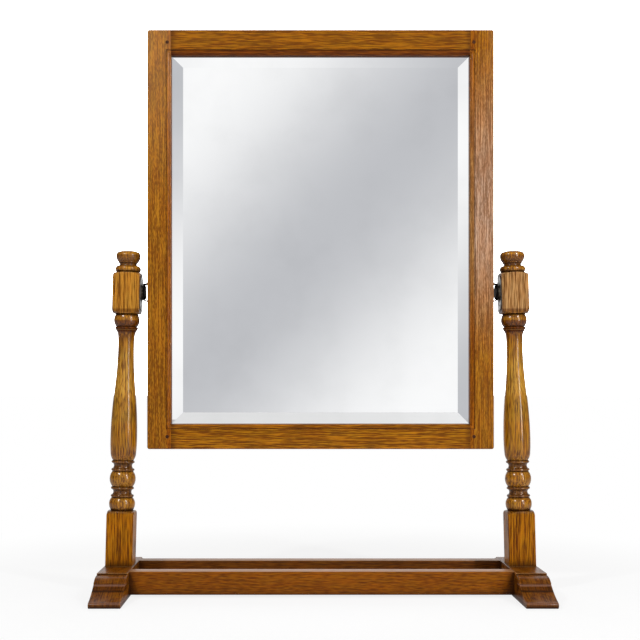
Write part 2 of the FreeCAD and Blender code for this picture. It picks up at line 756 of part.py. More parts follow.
def mirror_glass():
    """Mirror plate with a wide ground bevel along its four front edges."""
    half_width = sight_side + GLASS_REBATE - GLASS_CLEARANCE
    half_height = sight_half_height + GLASS_REBATE - GLASS_CLEARANCE
    edge_front = glass_front + BEVEL_DROP
    bevelled = Part.makeLoft([
        rectangle(half_width, half_height, edge_front),
        rectangle(half_width - BEVEL_WIDTH, half_height - BEVEL_WIDTH, glass_front),
    ], True, True)
    plate = box(
        (-half_width, half_width),
        (edge_front, glass_back),
        (frame_middle - half_height, frame_middle + half_height))
    return fused([plate, bevelled])


def glazing_blocks():
    """Pine blocks glued into the rebate behind the glass."""
    solids = []
    thickness = board_front - TOUCH_CLEARANCE - glass_back
    for quarter_turns in range(4):
        wall = half_opening(quarter_turns) + GLASS_REBATE
        run = 2 * half_opening(quarter_turns + 1)
        outline = Outline((wall, glass_back))
        outline.line((wall, glass_back + thickness))
        outline.line((wall - BLOCK_WIDTH / 2, glass_back + thickness))
        outline.line((wall - BLOCK_WIDTH, glass_back + thickness / 2))
        outline.line((wall - BLOCK_WIDTH, glass_back))
        section = outline.face()
        section.rotate(FreeCAD.Vector(0, 0, 0), FreeCAD.Vector(1, 0, 0), -90)
        for place in (-BLOCK_CENTRES, BLOCK_CENTRES):
            block = section.copy()
            block.translate(FreeCAD.Vector(0, 0, place * run - BLOCK_LENGTH / 2))
            solids.append(around_frame(
                block.extrude(FreeCAD.Vector(0, 0, BLOCK_LENGTH)), quarter_turns))
    return solids


def backboard():
    """Thin pine board let into the back of the frame."""
    out = BOARD_REBATE - BOARD_CLEARANCE
    board = box(
        (-sight_side - out, sight_side + out),
        (board_front, frame_back),
        (sight_bottom - out, sight_top + out))
    for hole in board_screw_solids(screw_hole):
        board = board.cut(hole)
    return board


# ---------------------------------------------------------------- sub-parts
def all_nodes():
    """Every sub-part by the name of its node."""
    nodes = {
        "stretcher_front": stretcher(-STRETCHER_SPACING / 2),
        "stretcher_rear": stretcher(STRETCHER_SPACING / 2),
        "rail_top": rail(True),
        "rail_bottom": rail(False),
        "frame_pegs": Part.makeCompound(peg_solids()),
        "mirror_glass": mirror_glass(),
        "glazing_blocks": Part.makeCompound(glazing_blocks()),
        "backboard": backboard(),
        "backboard_screws": Part.makeCompound(board_screw_solids(screw)),
    }
    plate_screws = []
    bracket_screws = []
    for side, name in ((LEFT, "left"), (RIGHT, "right")):
        nodes["foot_" + name] = foot(side)
        nodes["post_" + name] = post(side)
        nodes["pivot_plate_" + name] = pivot_plate(side)
        nodes["pivot_cup_" + name] = pivot_cup(side)
        nodes["stile_" + name] = stile(side)
        nodes["pivot_bracket_" + name] = pivot_bracket(side)
        nodes["pivot_stud_" + name] = pivot_stud(side)
        plate_screws += [side_copy(solid, side) for solid in plate_screw_solids(screw)]
        bracket_screws += [side_copy(solid, side) for solid in bracket_screw_solids(screw)]
    nodes["plate_screws"] = Part.makeCompound(plate_screws)
    nodes["bracket_screws"] = Part.makeCompound(bracket_screws)
    return nodes


os.makedirs("parts", exist_ok=True)
for node, shape in all_nodes().items():
    shape.exportStep("parts/" + node + ".step")
    solids = shape.Solids
    print(node, len(solids), "solid(s)", round(sum(solid.Volume for solid in solids), 1), "mm3",
          "valid" if shape.isValid() else "NOT VALID")
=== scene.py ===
import logging
import math
from dataclasses import dataclass, replace
from enum import Enum

import bmesh
import bpy
from bmesh.types import BMEdge, BMesh, BMVert
from bpy.types import Material, Node, NodeSocket, ShaderNodeTree
from mathutils import Matrix, Vector


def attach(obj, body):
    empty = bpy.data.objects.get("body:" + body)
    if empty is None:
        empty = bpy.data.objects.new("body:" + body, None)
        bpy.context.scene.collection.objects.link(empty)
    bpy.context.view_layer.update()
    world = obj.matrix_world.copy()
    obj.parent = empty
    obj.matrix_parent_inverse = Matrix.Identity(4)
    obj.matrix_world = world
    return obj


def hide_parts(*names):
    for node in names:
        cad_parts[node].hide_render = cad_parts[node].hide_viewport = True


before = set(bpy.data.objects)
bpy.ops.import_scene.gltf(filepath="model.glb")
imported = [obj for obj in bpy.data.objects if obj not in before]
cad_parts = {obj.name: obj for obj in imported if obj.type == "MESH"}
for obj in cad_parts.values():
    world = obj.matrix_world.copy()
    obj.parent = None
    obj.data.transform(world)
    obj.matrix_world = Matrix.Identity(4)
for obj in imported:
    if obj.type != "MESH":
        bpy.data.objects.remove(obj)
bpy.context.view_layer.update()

MM = 0.001
MERGED = 0.002  # Millimetres within which two points become one.
NEAR = 0.01  # Millimetres within which a point counts as lying in a plane.
SMOOTH_BELOW = 35.0  # Degrees that an edge may turn and still be shaded smooth.

Pair = tuple[float, float]
Triple = tuple[float, float, float]

log = logging.getLogger("swing_mirror")


class Side(Enum):
    """Which half of the mirror a piece belongs to, seen from the front."""

    LEFT = -1
    RIGHT = 1

    @property
    def word(self) -> str:
        """Name of the side as it stands in piece names."""
        return self.name.lower()


class Axis(Enum):
    """Axis of the object, which fibres run along and stretches lie along."""

    ACROSS = 0
    DEPTH = 1
    UPRIGHT = 2


# ------------------------------------------------------------------ node trees
class Nodes:
    """Node tree, with short calls to place its nodes and join them."""

    def __init__(self, tree: ShaderNodeTree) -> None:
        """Take over a tree and empty it.

        Args:
            tree: Tree of a material or of the surroundings.
        """
        self.tree = tree
        tree.nodes.clear()

    def node(self, kind: str, **settings: object) -> Node:
        """Place a node.

        Args:
            kind: Blender's name of the node type.
            **settings: Properties of the node.

        Returns:
            The new node.
        """
        made = self.tree.nodes.new(kind)
        for key, value in settings.items():
            setattr(made, key, value)
        return made

    def feed(self, node: Node, inputs: dict[str | int, object]) -> None:
        """Give each input a value, or join it to another node's output.

        Args:
            node: Node that takes the values.
            inputs: Number, vector, colour or output socket for each name or number of an input.
        """
        for socket, value in inputs.items():
            target = node.inputs[socket]
            if isinstance(value, NodeSocket):
                self.tree.links.new(value, target)
            elif isinstance(value, tuple) and len(value) == 3 and target.type == "RGBA":
                target.default_value = (*value, 1.0)
            else:
                target.default_value = value

    def parts(self, vector: NodeSocket) -> list[NodeSocket]:
        """The three parts of a vector.

        Args:
            vector: Vector to take apart.

        Returns:
            Its parts along each axis.
        """
        split = self.node("ShaderNodeSeparateXYZ")
        self.feed(split, {0: vector})
        return [split.outputs[index] for index in range(3)]

    def maths(self, operation: str, *values: object) -> NodeSocket:
        """One step of arithmetic.

        Args:
            operation: Blender's name of the operation.
            *values: Numbers or sockets that it works on.

        Returns:
            The result.
        """
        made = self.node("ShaderNodeMath", operation=operation)
        self.feed(made, dict(enumerate(values)))
        return made.outputs[0]

    def inverse(self, share: NodeSocket) -> NodeSocket:
        """What a share leaves of the whole."""
        return self.maths("SUBTRACT", 1.0, share)

    def diagonal(self, first: NodeSocket, second: NodeSocket) -> NodeSocket:
        """Length of a diagonal by its two sides."""
        squares = [self.maths("MULTIPLY", side, side) for side in (first, second)]
        return self.maths("SQRT", self.maths("ADD", *squares))

    def noise(
        self, place: NodeSocket, scale: Triple, shift: Triple = (0, 0, 0),
        detail: float = 3.0, rough: float = 0.5,
    ) -> NodeSocket:
        """Smooth noise around 0.5.

        Args:
            place: Place in metres.
            scale: Features in a metre along each axis.
            shift: Metres taken off the place along each axis.
            detail: Number of finer layers.
            rough: Strength of each finer layer.

        Returns:
            The noise value.
        """
        for operation, operand in (("SUBTRACT", shift), ("MULTIPLY", scale)):
            step = self.node("ShaderNodeVectorMath", operation=operation)
            self.feed(step, {0: place, 1: operand})
            place = step.outputs[0]
        made = self.node("ShaderNodeTexNoise")
        self.feed(made, {"Vector": place, "Scale": 1.0, "Detail": detail, "Roughness": rough})
        return made.outputs["Fac"]

    def band(self, value: NodeSocket, low: float, high: float) -> NodeSocket:
        """Smooth step.

        Args:
            value: Number that it follows.
            low: Value at which the step is still 0.
            high: Value at which it has reached 1.

        Returns:
            A value from 0 to 1.
        """
        made = self.node("ShaderNodeMapRange", interpolation_type="SMOOTHSTEP")
        self.feed(made, {"Value": value, "From Min": low, "From Max": high})
        return made.outputs["Result"]

    def blend(
        self, factor: object, first: object, second: object, mode: str = "MIX"
    ) -> NodeSocket:
        """Mix two colours.

        Args:
            factor: Share of the second colour, which is held between 0 and 1.
            first: First colour.
            second: Second colour.
            mode: Blender's name of the blend.

        Returns:
            The mixed colour.
        """
        made = self.node("ShaderNodeMix", data_type="RGBA", blend_type=mode)
        self.feed(made, {0: factor, 6: first, 7: second})
        return made.outputs[2]


class Recipe(Nodes):
    """Node tree of one finish, round a Principled shader."""

    def __init__(self, name: str) -> None:
        """Start a material with its shader joined to its output.

        Args:
            name: Name of the new material.
        """
        self.material: Material = bpy.data.materials.new(name)
        self.material.use_nodes = True
        super().__init__(self.material.node_tree)
        self.shader = self.node("ShaderNodeBsdfPrincipled")
        self.output = self.node("ShaderNodeOutputMaterial")
        self.feed(self.output, {"Surface": self.shader.outputs["BSDF"]})

    def object_place(self) -> NodeSocket:
        """Place of the shaded point in the object's own metres."""
        return self.node("ShaderNodeTexCoord").outputs["Object"]

    def recess(
        self, distance: float, low: float, high: float, inside: bool = False
    ) -> NodeSocket:
        """How deep a point lies in a recess, or how close to an arris.

        Args:
            distance: Millimetres over which other faces count.
            low: Openness at which the result is 1.
            high: Openness at which the result is 0.
            inside: Whether to look into the solid, which finds its arrises.

        Returns:
            A value from 0 to 1.
        """
        made = self.node("ShaderNodeAmbientOcclusion", samples=8, inside=inside)
        self.feed(made, {"Distance": distance * MM})
        return self.inverse(self.band(made.outputs["AO"], low, high))

    def bump(self, height: NodeSocket, depth: float) -> None:
        """Raise the surface by a height field.

        Args:
            height: Height, where 1 stands one depth proud.
            depth: Millimetres.
        """
        made = self.node("ShaderNodeBump")
        self.feed(made, {"Strength": 1.0, "Distance": depth * MM, "Height": height})
        self.feed(self.shader, {"Normal": made.outputs["Normal"]})


# ------------------------------------------------------------------ finishes
ALREADY = (-2.0, -1.0)  # Distances that every point of a piece is beyond.
NEVER = (8000.0, 9000.0)  # Distances that no point of a piece reaches.


@dataclass(frozen=True)
class Zone:
    """Stretch of a piece whose colour differs: stained, paler, or with painted shade or a painted
    sheen.

    Lengths are in millimetres.

    Attributes:
        axis: Axis along which the stretch lies.
        places: Distances from the centre where it starts, is full, wanes and ends.
        share: How far the wood has changed where the stretch is full.
        colour: Colour that multiplies the wood, or veils it where it is not multiplied.
        centre: Place on the axis that the distances are taken from.
        multiplied: Whether the colour multiplies the wood.
        ends: Distance in front of and behind the middle where the stretch begins to show.
    """

    axis: Axis
    places: tuple[float, float, float, float]
    share: float
    colour: Triple
    centre: float = 0.0
    stained: bool = True
    ends: float = 0.0

    @classmethod
    def around(
        cls, axis: Axis, centre: float, reach: float, soft: float, colour: Triple,
        share: float = 1.0, stained: bool = True, ends: float = 0.0,
    ) -> "Zone":
        """Stretch that is full at its centre and fades at both ends.

        Args:
            axis: Axis along which the stretch lies.
            centre: Its centre.
            reach: Distance from the centre to the middle of each fade.
            soft: Half the length of a fade.
            colour: Colour that multiplies or veils the wood.
            share: How far the wood has changed.
            multiplied: Whether the colour multiplies the wood.
            ends: Distance in front and behind where the stretch begins to show.

        Returns:
            The stretch.
        """
        places = (*ALREADY, reach - soft, reach + soft)
        return cls(axis, places, share, colour, centre, stained, ends)

    @classmethod
    def outwards(
        cls, axis: Axis, start: float, full: float, colour: Triple, share: float,
        stained: bool = True,
    ) -> "Zone":
        """Stretch at both ends of a piece, from a distance outwards.

        Args:
            axis: Axis along which the stretch lies.
            start: Distance from the origin where it starts.
            full: Distance where it is full.
            colour: Colour that multiplies or veils the wood.
            share: How far the wood has changed.
            multiplied: Whether the colour multiplies the wood.

        Returns:
            The stretch.
        """
        return cls(axis, (start, full, *NEVER), share, colour, stained=stained)

    @classmethod
    def joints(cls, distance: float) -> "Zone":
        """Stain that gathers across the grain, a distance out, where a member is joined."""
        return cls.outwards(Axis.ACROSS, distance - 9, distance, (0.25, 0.2, 0.2), 0.6)

    @classmethod
    def stain(cls, low: float, high: float, colour: Triple, soft: float = 1.2) -> "Zone":
        """Stretch between two heights, which fades over twice the soft length at each."""
        return cls.around(Axis.UPRIGHT, (high + low) / 2, (high - low) / 2, soft, colour)

    def cover(self, recipe: Recipe) -> NodeSocket:
        """Share of the wood that has changed.

        Args:
            recipe: Tree to add to.

        Returns:
            The share at each point.
        """
        parts = recipe.parts(recipe.object_place())
        offset = recipe.maths("SUBTRACT", parts[self.axis.value], self.centre * MM)
        distance = recipe.maths("ABSOLUTE", offset)
        start, full, wane, end = (place * MM for place in self.places)
        fall = recipe.maths("SUBTRACT", self.share, recipe.band(distance, wane, end))
        share = recipe.maths(
            "MULTIPLY", recipe.band(distance, start, full), recipe.maths("MAXIMUM", fall, 0.0))
        if self.ends:
            depth = recipe.maths("ABSOLUTE", parts[Axis.DEPTH.value])
            near = recipe.band(depth, (self.ends - 2) * MM, (self.ends + 2) * MM)
            share = recipe.maths("MULTIPLY", share, near)
        return share

    def lay(self, recipe: Recipe, wood: NodeSocket) -> NodeSocket:
        """The colour of the wood, changed within the stretch."""
        method = "MULTIPLY" if self.stained else "MIX"
        return recipe.blend(self.cover(recipe), wood, self.colour, method)


@dataclass(frozen=True)
class OakFinish:
    """Old golden oak under shellac, with open pores, and dirt and painted shade in its recesses.

    Lengths are in millimetres. Patterns count their features in a metre.

    Attributes:
        grain: Axis of the fibres.
        heart: Place of the tree's heart across the fibres.
        lean: How far the heart wanders across the grain per length along it.
        ring: Width of a year's growth.
        spring_share: Share of a year over which its porous wood fades.
        sway: How far the growth rings wave.
        light: Colour of the dense summer wood.
        deep: Colour of the porous spring wood.
        pore_dirt_and_shade: Colour of filled pores and dirt, and of the painted shade in recesses.
        rubbed_glint: Colour of the worn arrises, which carries a painted highlight.
        warm: Tint of the warmer patches.
        cool: Tint of the cooler patches.
        ripeness: Share by which the deep colour outweighs the light one.
        patches: Strength of the soft patches.
        open_pores: How dark the pores stand in the wood.
        figure: Strength of the growth rings.
        streak: Strength of the long streaks.
        fleck: Strength of the short flecks.
        fibre: How many flecks a metre along the fibres holds.
        rays: Strength of the fine lines that the wood's rays draw on end grain.
        grime_and_shade: Strength of the dirt and painted shade in the recesses.
        reach: How far the dirt and painted shade spread from a corner.
        shelter: Openness at which the wood is darkest, and at which it is clean.
        wear: How far the arrises are paled, by rubbing and by a painted highlight.
        coat: Strength of the polish.
        zones: Stretches that are paler or stained, or carry painted shade or a painted sheen.
        dulled: Stretches whose polish has gone. Dirt then dulls the recesses too.
        seed: Number that sets this piece's own pattern.
    """

    grain: Axis
    heart: Pair = (70.0, 50.0)
    lean: float = 0.02
    ring: float = 3.2
    spring_share: float = 0.5
    sway: float = 12.0
    light: Triple = (0.40, 0.150, 0.008)
    deep: Triple = (0.15, 0.042, 0.002)
    pore_dirt_and_shade: Triple = (0.035, 0.010, 0.002)
    rubbed_glint: Triple = (0.55, 0.30, 0.10)
    warm: Triple = (1.03, 0.97, 0.9)
    cool: Triple = (0.98, 1.03, 1.08)
    ripeness: float = -0.25
    patches: float = 1.2
    open_pores: float = 0.3
    figure: float = 0.4
    streak: float = 0.35
    fleck: float = 0.5
    fibre: float = 260.0
    rays: float = 0.0
    grime_and_shade: float = 0.9
    reach: float = 7.0
    shelter: Pair = (0.35, 1.0)
    wear: float = 0.0
    coat: float = 0.12
    zones: tuple[Zone, ...] = ()
    dulled: tuple[Zone, ...] = ()
    seed: float = 0.0

    def place(self, recipe: Recipe) -> NodeSocket:
        """Place of the shaded point.

        Args:
            recipe: Tree to add to.

        Returns:
            The place in metres, with the fibres along its third part.
        """
        parts = recipe.parts(recipe.object_place())
        parts.append(parts.pop(self.grain.value))
        joined = recipe.node("ShaderNodeCombineXYZ")
        recipe.feed(joined, dict(enumerate(parts)))
        return joined.outputs[0]

    def spring(self, recipe: Recipe, place: NodeSocket) -> NodeSocket:
        """How porous the wood is by its place in the year's growth.

        Args:
            recipe: Tree to add to.
            place: Place with the fibres along its third part.

        Returns:
            A value that falls from 1 at the start of spring to 0 in summer.
        """
        *sides, along = recipe.parts(place)
        offsets = [
            recipe.maths("SUBTRACT", side, heart * MM) for side, heart in zip(sides, self.heart)]
        radius = recipe.diagonal(*offsets)
        wander = recipe.noise(place, (30, 30, 9), (self.seed, 0, 0))
        waved = recipe.maths("MULTIPLY_ADD", wander, 2 * self.sway * MM, radius)
        leaned = recipe.maths("MULTIPLY_ADD", along, self.lean, waved)
        years = recipe.maths("DIVIDE", leaned, self.ring * MM)
        uneven = recipe.noise(place, (45, 45, 4), (0, 0, self.seed), 1.0)
        year = recipe.maths("FRACT", recipe.maths("ADD", years, uneven))
        return recipe.inverse(recipe.band(year, 0.0, self.spring_share))

    def planed(
        self, recipe: Recipe, place: NodeSocket, spring: NodeSocket, cloud: NodeSocket
    ) -> NodeSocket:
        """Colour of the fresh wood, without its pores.

        Args:
            recipe: Tree to add to.
            place: Place with the fibres along its third part.
            spring: How porous the wood is.
            cloud: Soft patches.

        Returns:
            The colour.
        """
        stroke = recipe.noise(place, (200, 200, 8), (self.seed, 0.2, 0), 2.0)
        broken = recipe.maths("MULTIPLY_ADD", recipe.band(stroke, 0.36, 0.6), 0.5, 0.5)
        lines = recipe.maths("MULTIPLY", spring, broken)
        tone = recipe.maths("MULTIPLY_ADD", cloud, self.patches, self.ripeness)
        tone = recipe.maths("MULTIPLY_ADD", lines, self.figure, tone)
        flecks = (1300, 1300, self.fibre), (self.seed, 0, 0.3), 1.0, 0.5
        streaks = (800, 800, 22), (0, self.seed, 0), 2.0, 0.6
        rays = (1000, 60, 60), (self.seed, 0, 0), 2.0, 0.5
        for pattern, strength in ((flecks, self.fleck), (streaks, self.streak), (rays, self.rays)):
            if strength:
                drawn = recipe.noise(place, *pattern)
                swing = recipe.maths("MULTIPLY_ADD", drawn, 4 * strength, -2 * strength)
                tone = recipe.maths("ADD", tone, swing)
        wood = recipe.blend(tone, self.light, self.deep)
        hue = recipe.noise(place, (160, 160, 40), (self.seed, 3, 0), 2.0)
        tint = recipe.blend(recipe.band(hue, 0.35, 0.65), self.warm, self.cool)
        return recipe.blend(1.0, wood, tint, "MULTIPLY")

    def aged_and_shaded(self, recipe: Recipe, wood: NodeSocket, closed: NodeSocket) -> NodeSocket:
        """Stain and dirty a colour, paint shade into its recesses, and pale its arrises by wear
        and with a painted highlight.

        Args:
            recipe: Tree to add to.
            wood: Colour of the fresh wood.
            closed: How deep a point lies in a recess.

        Returns:
            The colour, aged and with its painted shade and highlight.
        """
        for zone in self.zones:
            wood = zone.lay(recipe, wood)
        # Dirt and painted shade darken the recesses.
        wood = recipe.blend(recipe.maths("MULTIPLY", closed, self.grime_and_shade), wood, self.pore_dirt_and_shade)
        # Pale arrises: wear, and a painted highlight.
        if self.wear:
            worn = recipe.maths("MULTIPLY", recipe.recess(1.6, 0.35, 0.8, True), self.wear)
            wood = recipe.blend(worn, wood, self.rubbed_glint)
        return wood

    def polish(self, recipe: Recipe, closed: NodeSocket) -> float | NodeSocket:
        """Strength of the polish, even unless stretches of it have gone.

        Args:
            recipe: Tree to add to.
            closed: How deep a point lies in a recess.

        Returns:
            The strength, as a number where it is even.
        """
        if not self.dulled:
            return self.coat
        polish = recipe.maths("MULTIPLY_ADD", closed, -0.8 * self.coat, self.coat)
        for zone in self.dulled:
            polish = recipe.maths("MULTIPLY", polish, recipe.inverse(zone.cover(recipe)))
        return polish

    def make(self, name: str) -> Material:
        """Make the material.

        Args:
            name: Name of the new material.

        Returns:
            The finished material.
        """
        recipe = Recipe(name)
        place = self.place(recipe)
        spring = self.spring(recipe, place)
        vessels = recipe.noise(
            place, (1500, 1500, 0.7 * self.fibre), (0.4, 0, self.seed), 1.0, 0.4)
        crowd = recipe.maths("MULTIPLY_ADD", spring, 0.8, 0.2)
        pores = recipe.maths("MULTIPLY", recipe.band(vessels, 0.55, 0.66), crowd)
        cloud = recipe.noise(place, (26, 26, 7), (self.seed, 0, 0))
        wood = self.planed(recipe, place, spring, cloud)
        wood = recipe.blend(recipe.maths("MULTIPLY", pores, self.open_pores), wood, self.pore_dirt_and_shade)
        # Recess mask: dirt and painted shade darken the recesses by it, and the polish thins
        # there.
        closed = recipe.recess(self.reach, *self.shelter)
        recipe.feed(recipe.shader, {
            "Base Color": self.aged_and_shaded(recipe, wood, closed),
            "Roughness": recipe.maths("MULTIPLY_ADD", pores, 0.3, 0.3),
            "Specular IOR Level": 0.08,
            "Coat Weight": self.polish(recipe, closed),
            "Coat Roughness": 0.16,
        })
        recipe.bump(recipe.maths("MULTIPLY_ADD", pores, -0.15, cloud), 0.6)
        return recipe.material


@dataclass(frozen=True)
class PineFinish:
    """Dull old pine of the backboard and glazing blocks, with its fibres upright.

    Attributes:
        pale: Colour between the growth lines.
        dark: Colour of the growth lines.
        stain: Colour that multiplies the wood in its blotches.
        ring: Width of a year's growth in millimetres.
    """

    pale: Triple = (0.36, 0.185, 0.065)
    dark: Triple = (0.19, 0.080, 0.024)
    stain: Triple = (0.5, 0.42, 0.36)
    ring: float = 7.0

    def make(self, name: str) -> Material:
        """Make the material.

        Args:
            name: Name of the new material.

        Returns:
            The finished material.
        """
        recipe = Recipe(name)
        place = recipe.object_place()
        sway = recipe.noise(place, (9, 9, 1.6), detail=2.0)
        across = recipe.maths("MULTIPLY_ADD", sway, 0.11, recipe.parts(place)[0])
        year = recipe.maths("FRACT", recipe.maths("DIVIDE", across, self.ring * MM))
        strength = recipe.band(recipe.noise(place, (45, 45, 4), (5, 0, 0), 2.0), 0.25, 0.7)
        line = recipe.maths("MULTIPLY", recipe.band(year, 0.45, 0.95), strength)
        fibre = recipe.noise(place, (620, 620, 26), detail=4.0)
        blotch = recipe.noise(place, (7, 7, 5), (2, 0, 0), 4.0)
        tone = recipe.maths("MULTIPLY_ADD", recipe.band(fibre, 0.3, 0.7), 0.45, line)
        tone = recipe.maths("MULTIPLY", recipe.maths("MINIMUM", tone, 1.0), 0.7)
        wood = recipe.blend(tone, self.pale, self.dark)
        recipe.feed(recipe.shader, {
            "Base Color": recipe.blend(
                recipe.band(blotch, 0.45, 0.8), wood, self.stain, "MULTIPLY"),
            "Roughness": recipe.maths("MULTIPLY_ADD", fibre, 0.25, 0.6),
        })
        recipe.bump(fibre, 0.25)
        return recipe.material


@dataclass(frozen=True)
class MirrorFinish:
    """Silvered plate glass, faintly uneven in its silver.

    Attributes:
        silver: Colour of the reflection.
        tired: Colour where the silver has grown old.
    """

    silver: Triple = (0.955, 0.96, 0.965)
    tired: Triple = (0.90, 0.905, 0.91)

    def make(self, name: str) -> Material:
        """Make the material.

        Args:
            name: Name of the new material.

        Returns:
            The finished material.
        """
        recipe = Recipe(name)
        age = recipe.noise(recipe.object_place(), (14, 14, 14), detail=4.0)
        recipe.feed(recipe.shader, {
            "Base Color": recipe.blend(recipe.band(age, 0.4, 0.8), self.silver, self.tired),
            "Metallic": 1.0,
            "Roughness": recipe.maths("MULTIPLY", age, 0.012),
        })
        return recipe.material


@dataclass(frozen=True)
class MetalFinish:
    """Old metal, dulled and darkened in its recesses.

    Attributes:
        bare: Colour of the clean metal.
        dull: Colour of its tarnish.
        rough: Roughness of the clean metal.
        wear: Share of the surface that has dulled.
    """

    bare: Triple
    dull: Triple
    rough: float = 0.3
    wear: float = 0.5

    def make(self, name: str) -> Material:
        """Make the material.

        Args:
            name: Name of the new material.

        Returns:
            The finished material.
        """
        recipe = Recipe(name)
        place = recipe.object_place()
        patch = recipe.noise(place, (240, 240, 240), detail=5.0)
        scratch = recipe.noise(place, (3000, 3000, 260), (1, 0, 0), 2.0)
        spread = self.wear * 0.35
        tarnish = recipe.band(patch, 0.62 - spread, 0.85 - spread)
        share = recipe.maths("MAXIMUM", tarnish, recipe.recess(6.0, 0.4, 0.95))
        recipe.feed(recipe.shader, {
            "Base Color": recipe.blend(share, self.bare, self.dull),
            "Metallic": 1.0,
            "Roughness": recipe.maths("MULTIPLY_ADD", share, 0.25, self.rough),
        })
        recipe.bump(scratch, 0.04)
        return recipe.material


BASE_OAK = OakFinish(Axis.UPRIGHT)
STEEL = MetalFinish((0.38, 0.38, 0.375), (0.10, 0.09, 0.08), rough=0.28)
DARK_STEEL = MetalFinish((0.17, 0.15, 0.12), (0.03, 0.024, 0.018), rough=0.35, wear=0.6)
BLACK_IRON = MetalFinish((0.030, 0.028, 0.026), (0.008, 0.007, 0.006), rough=0.4, wear=0.6)
BRASS = MetalFinish((0.60, 0.47, 0.27), (0.20, 0.15, 0.08))


# ------------------------------------------------------------------ mesh helpers
def finish_piece(
    bm: BMesh, node: str, material: Material, body: str,
    smooth_below: float = SMOOTH_BELOW,
) -> None:
    """Turn a bmesh into a piece that rides on a body and stands for a CAD node.

    Args:
        bm: Mesh in millimetres. It is freed.
        node: CAD node that it stands for, which also names it.
        material: Its finish.
        body: CAD body that it moves with.
        smooth_below: Edges that turn by fewer degrees are shaded smooth.
    """
    bmesh.ops.scale(bm, vec=(MM, MM, MM), verts=bm.verts)
    mesh = bpy.data.meshes.new(f"visual_{node}")
    bm.to_mesh(mesh)
    bm.free()
    mesh.shade_smooth()
    mesh.set_sharp_from_angle(angle=math.radians(smooth_below))
    mesh.materials.append(material)
    piece = bpy.data.objects.new(mesh.name, mesh)
    bpy.context.scene.collection.objects.link(piece)
    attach(piece, body)
    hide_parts(node)
    log.info("%s: %d faces", piece.name, len(mesh.polygons))


def add_oak(
    bm: BMesh, node: str, finish: OakFinish, body: str, smooth_below: float = SMOOTH_BELOW
) -> None:
    """Turn a bmesh into a piece of oak with a pattern of its own.

    Args:
        bm: Mesh in millimetres. It is freed.
        node: CAD node that it stands for, which also names it.
        finish: Its finish.
        body: CAD body that it moves with.
        smooth_below: Edges that turn by fewer degrees are shaded smooth.
    """
    finish_piece(bm, node, finish.make(f"oak_{node}"), body, smooth_below=smooth_below)


def close_and_orient(bm: BMesh) -> None:
    """Merge coincident points and turn every face outwards."""
    bmesh.ops.remove_doubles(bm, verts=bm.verts, dist=MERGED)
    bmesh.ops.recalc_face_normals(bm, faces=bm.faces)


def block(low: Vector, high: Vector) -> BMesh:
    """Box between two corners.

    Args:
        low: Corner with the lowest coordinates.
        high: Corner with the highest ones.

    Returns:
        Its mesh.
    """
    bm = bmesh.new()
    bmesh.ops.create_cube(bm, size=1.0)
    bmesh.ops.scale(bm, vec=high - low, verts=bm.verts)
    bmesh.ops.translate(bm, vec=(high + low) / 2, verts=bm.verts)
    return bm


def round_edges(bm: BMesh, edges: list[BMEdge], width: float, segments: int) -> None:
    """Round the chosen edges of a mesh.

    Args:
        bm: Mesh to change.
        edges: Edges to round.
        width: Size of the rounding.
        segments: Number of faces across it.
    """
    bmesh.ops.bevel(
        bm, geom=edges, offset=width, offset_type="OFFSET", segments=segments, profile=0.5,
        affect="EDGES", clamp_overlap=True, material=-1)


class FlatPath:
    """Path of flat points, drawn with lines and arcs as a turner's outline is.

    Points are (across, up) in millimetres.
    """

    def __init__(self, across: float, up: float) -> None:
        """Start the path.

        Args:
            across: First coordinate of the start.
            up: Second coordinate of the start.
        """
        self.points: list[Pair] = [(across, up)]
        self.heading: Pair = (0.0, 1.0)

    @property
    def last(self) -> Pair:
        """Point that the path has reached."""
        return self.points[-1]

    def line(self, *ends: Pair) -> None:
        """Go straight to each point in turn.

        Args:
            *ends: The points.
        """
        for end in ends:
            run = math.dist(end, self.last)
            self.heading = ((end[0] - self.last[0]) / run, (end[1] - self.last[1]) / run)
            self.points.append(end)

    def arc(self, heading: Pair, end: Pair, spans: int = 0) -> None:
        """Go along an arc.

        Args:
            heading: Direction that it leaves along.
            end: Point that it reaches.
            spans: Number of straight spans, or 0 to choose them by the curve.
        """
        start = self.last
        chord = (end[0] - start[0], end[1] - start[1])
        length = math.hypot(*chord)
        toward = math.atan2(chord[1], chord[0])
        turn = toward - math.atan2(heading[1], heading[0])
        turn = math.atan2(math.sin(turn), math.cos(turn))
        spans = spans or max(2, math.ceil(abs(turn) / math.radians(4)), math.ceil(length / 6))
        for step in range(1, spans + 1):
            share = step / spans
            reach = math.sin(share * turn) / math.sin(turn) if abs(turn) > 1e-6 else share
            angle = toward - turn + share * turn
            self.points.append((
                start[0] + length * reach * math.cos(angle),
                start[1] + length * reach * math.sin(angle)))
        leaving = toward + turn
        self.heading = (math.cos(leaving), math.sin(leaving))

    def carry_on(self, end: Pair) -> None:
        """Go along an arc that leaves smoothly from the last span."""
        self.arc(self.heading, end)

    def arrive(
        self, heading: Pair, end: Pair, spans: int = 0
    ) -> None:
        """Go along an arc that reaches a point along a heading.

        Args:
            heading: Direction on arrival.
            end: Point that it reaches.
            spans: Number of straight spans, or 0 to choose them by the curve.
        """
        toward = math.atan2(end[1] - self.last[1], end[0] - self.last[0])
        lead = 2 * toward - math.atan2(heading[1], heading[0])
        self.arc((math.cos(lead), math.sin(lead)), end, spans)

    def bulge(self, depth: float, end: Pair) -> None:
        """Go along an arc that stands out to the right of its chord.

        Args:
            depth: How far it stands out, or less than 0 for the left.
            end: Point that it reaches.
        """
        half = math.dist(end, self.last) / 2
        toward = math.atan2(end[1] - self.last[1], end[0] - self.last[0])
        lead = toward - 2 * math.atan2(depth, half)
        self.arc((math.cos(lead), math.sin(lead)), end)


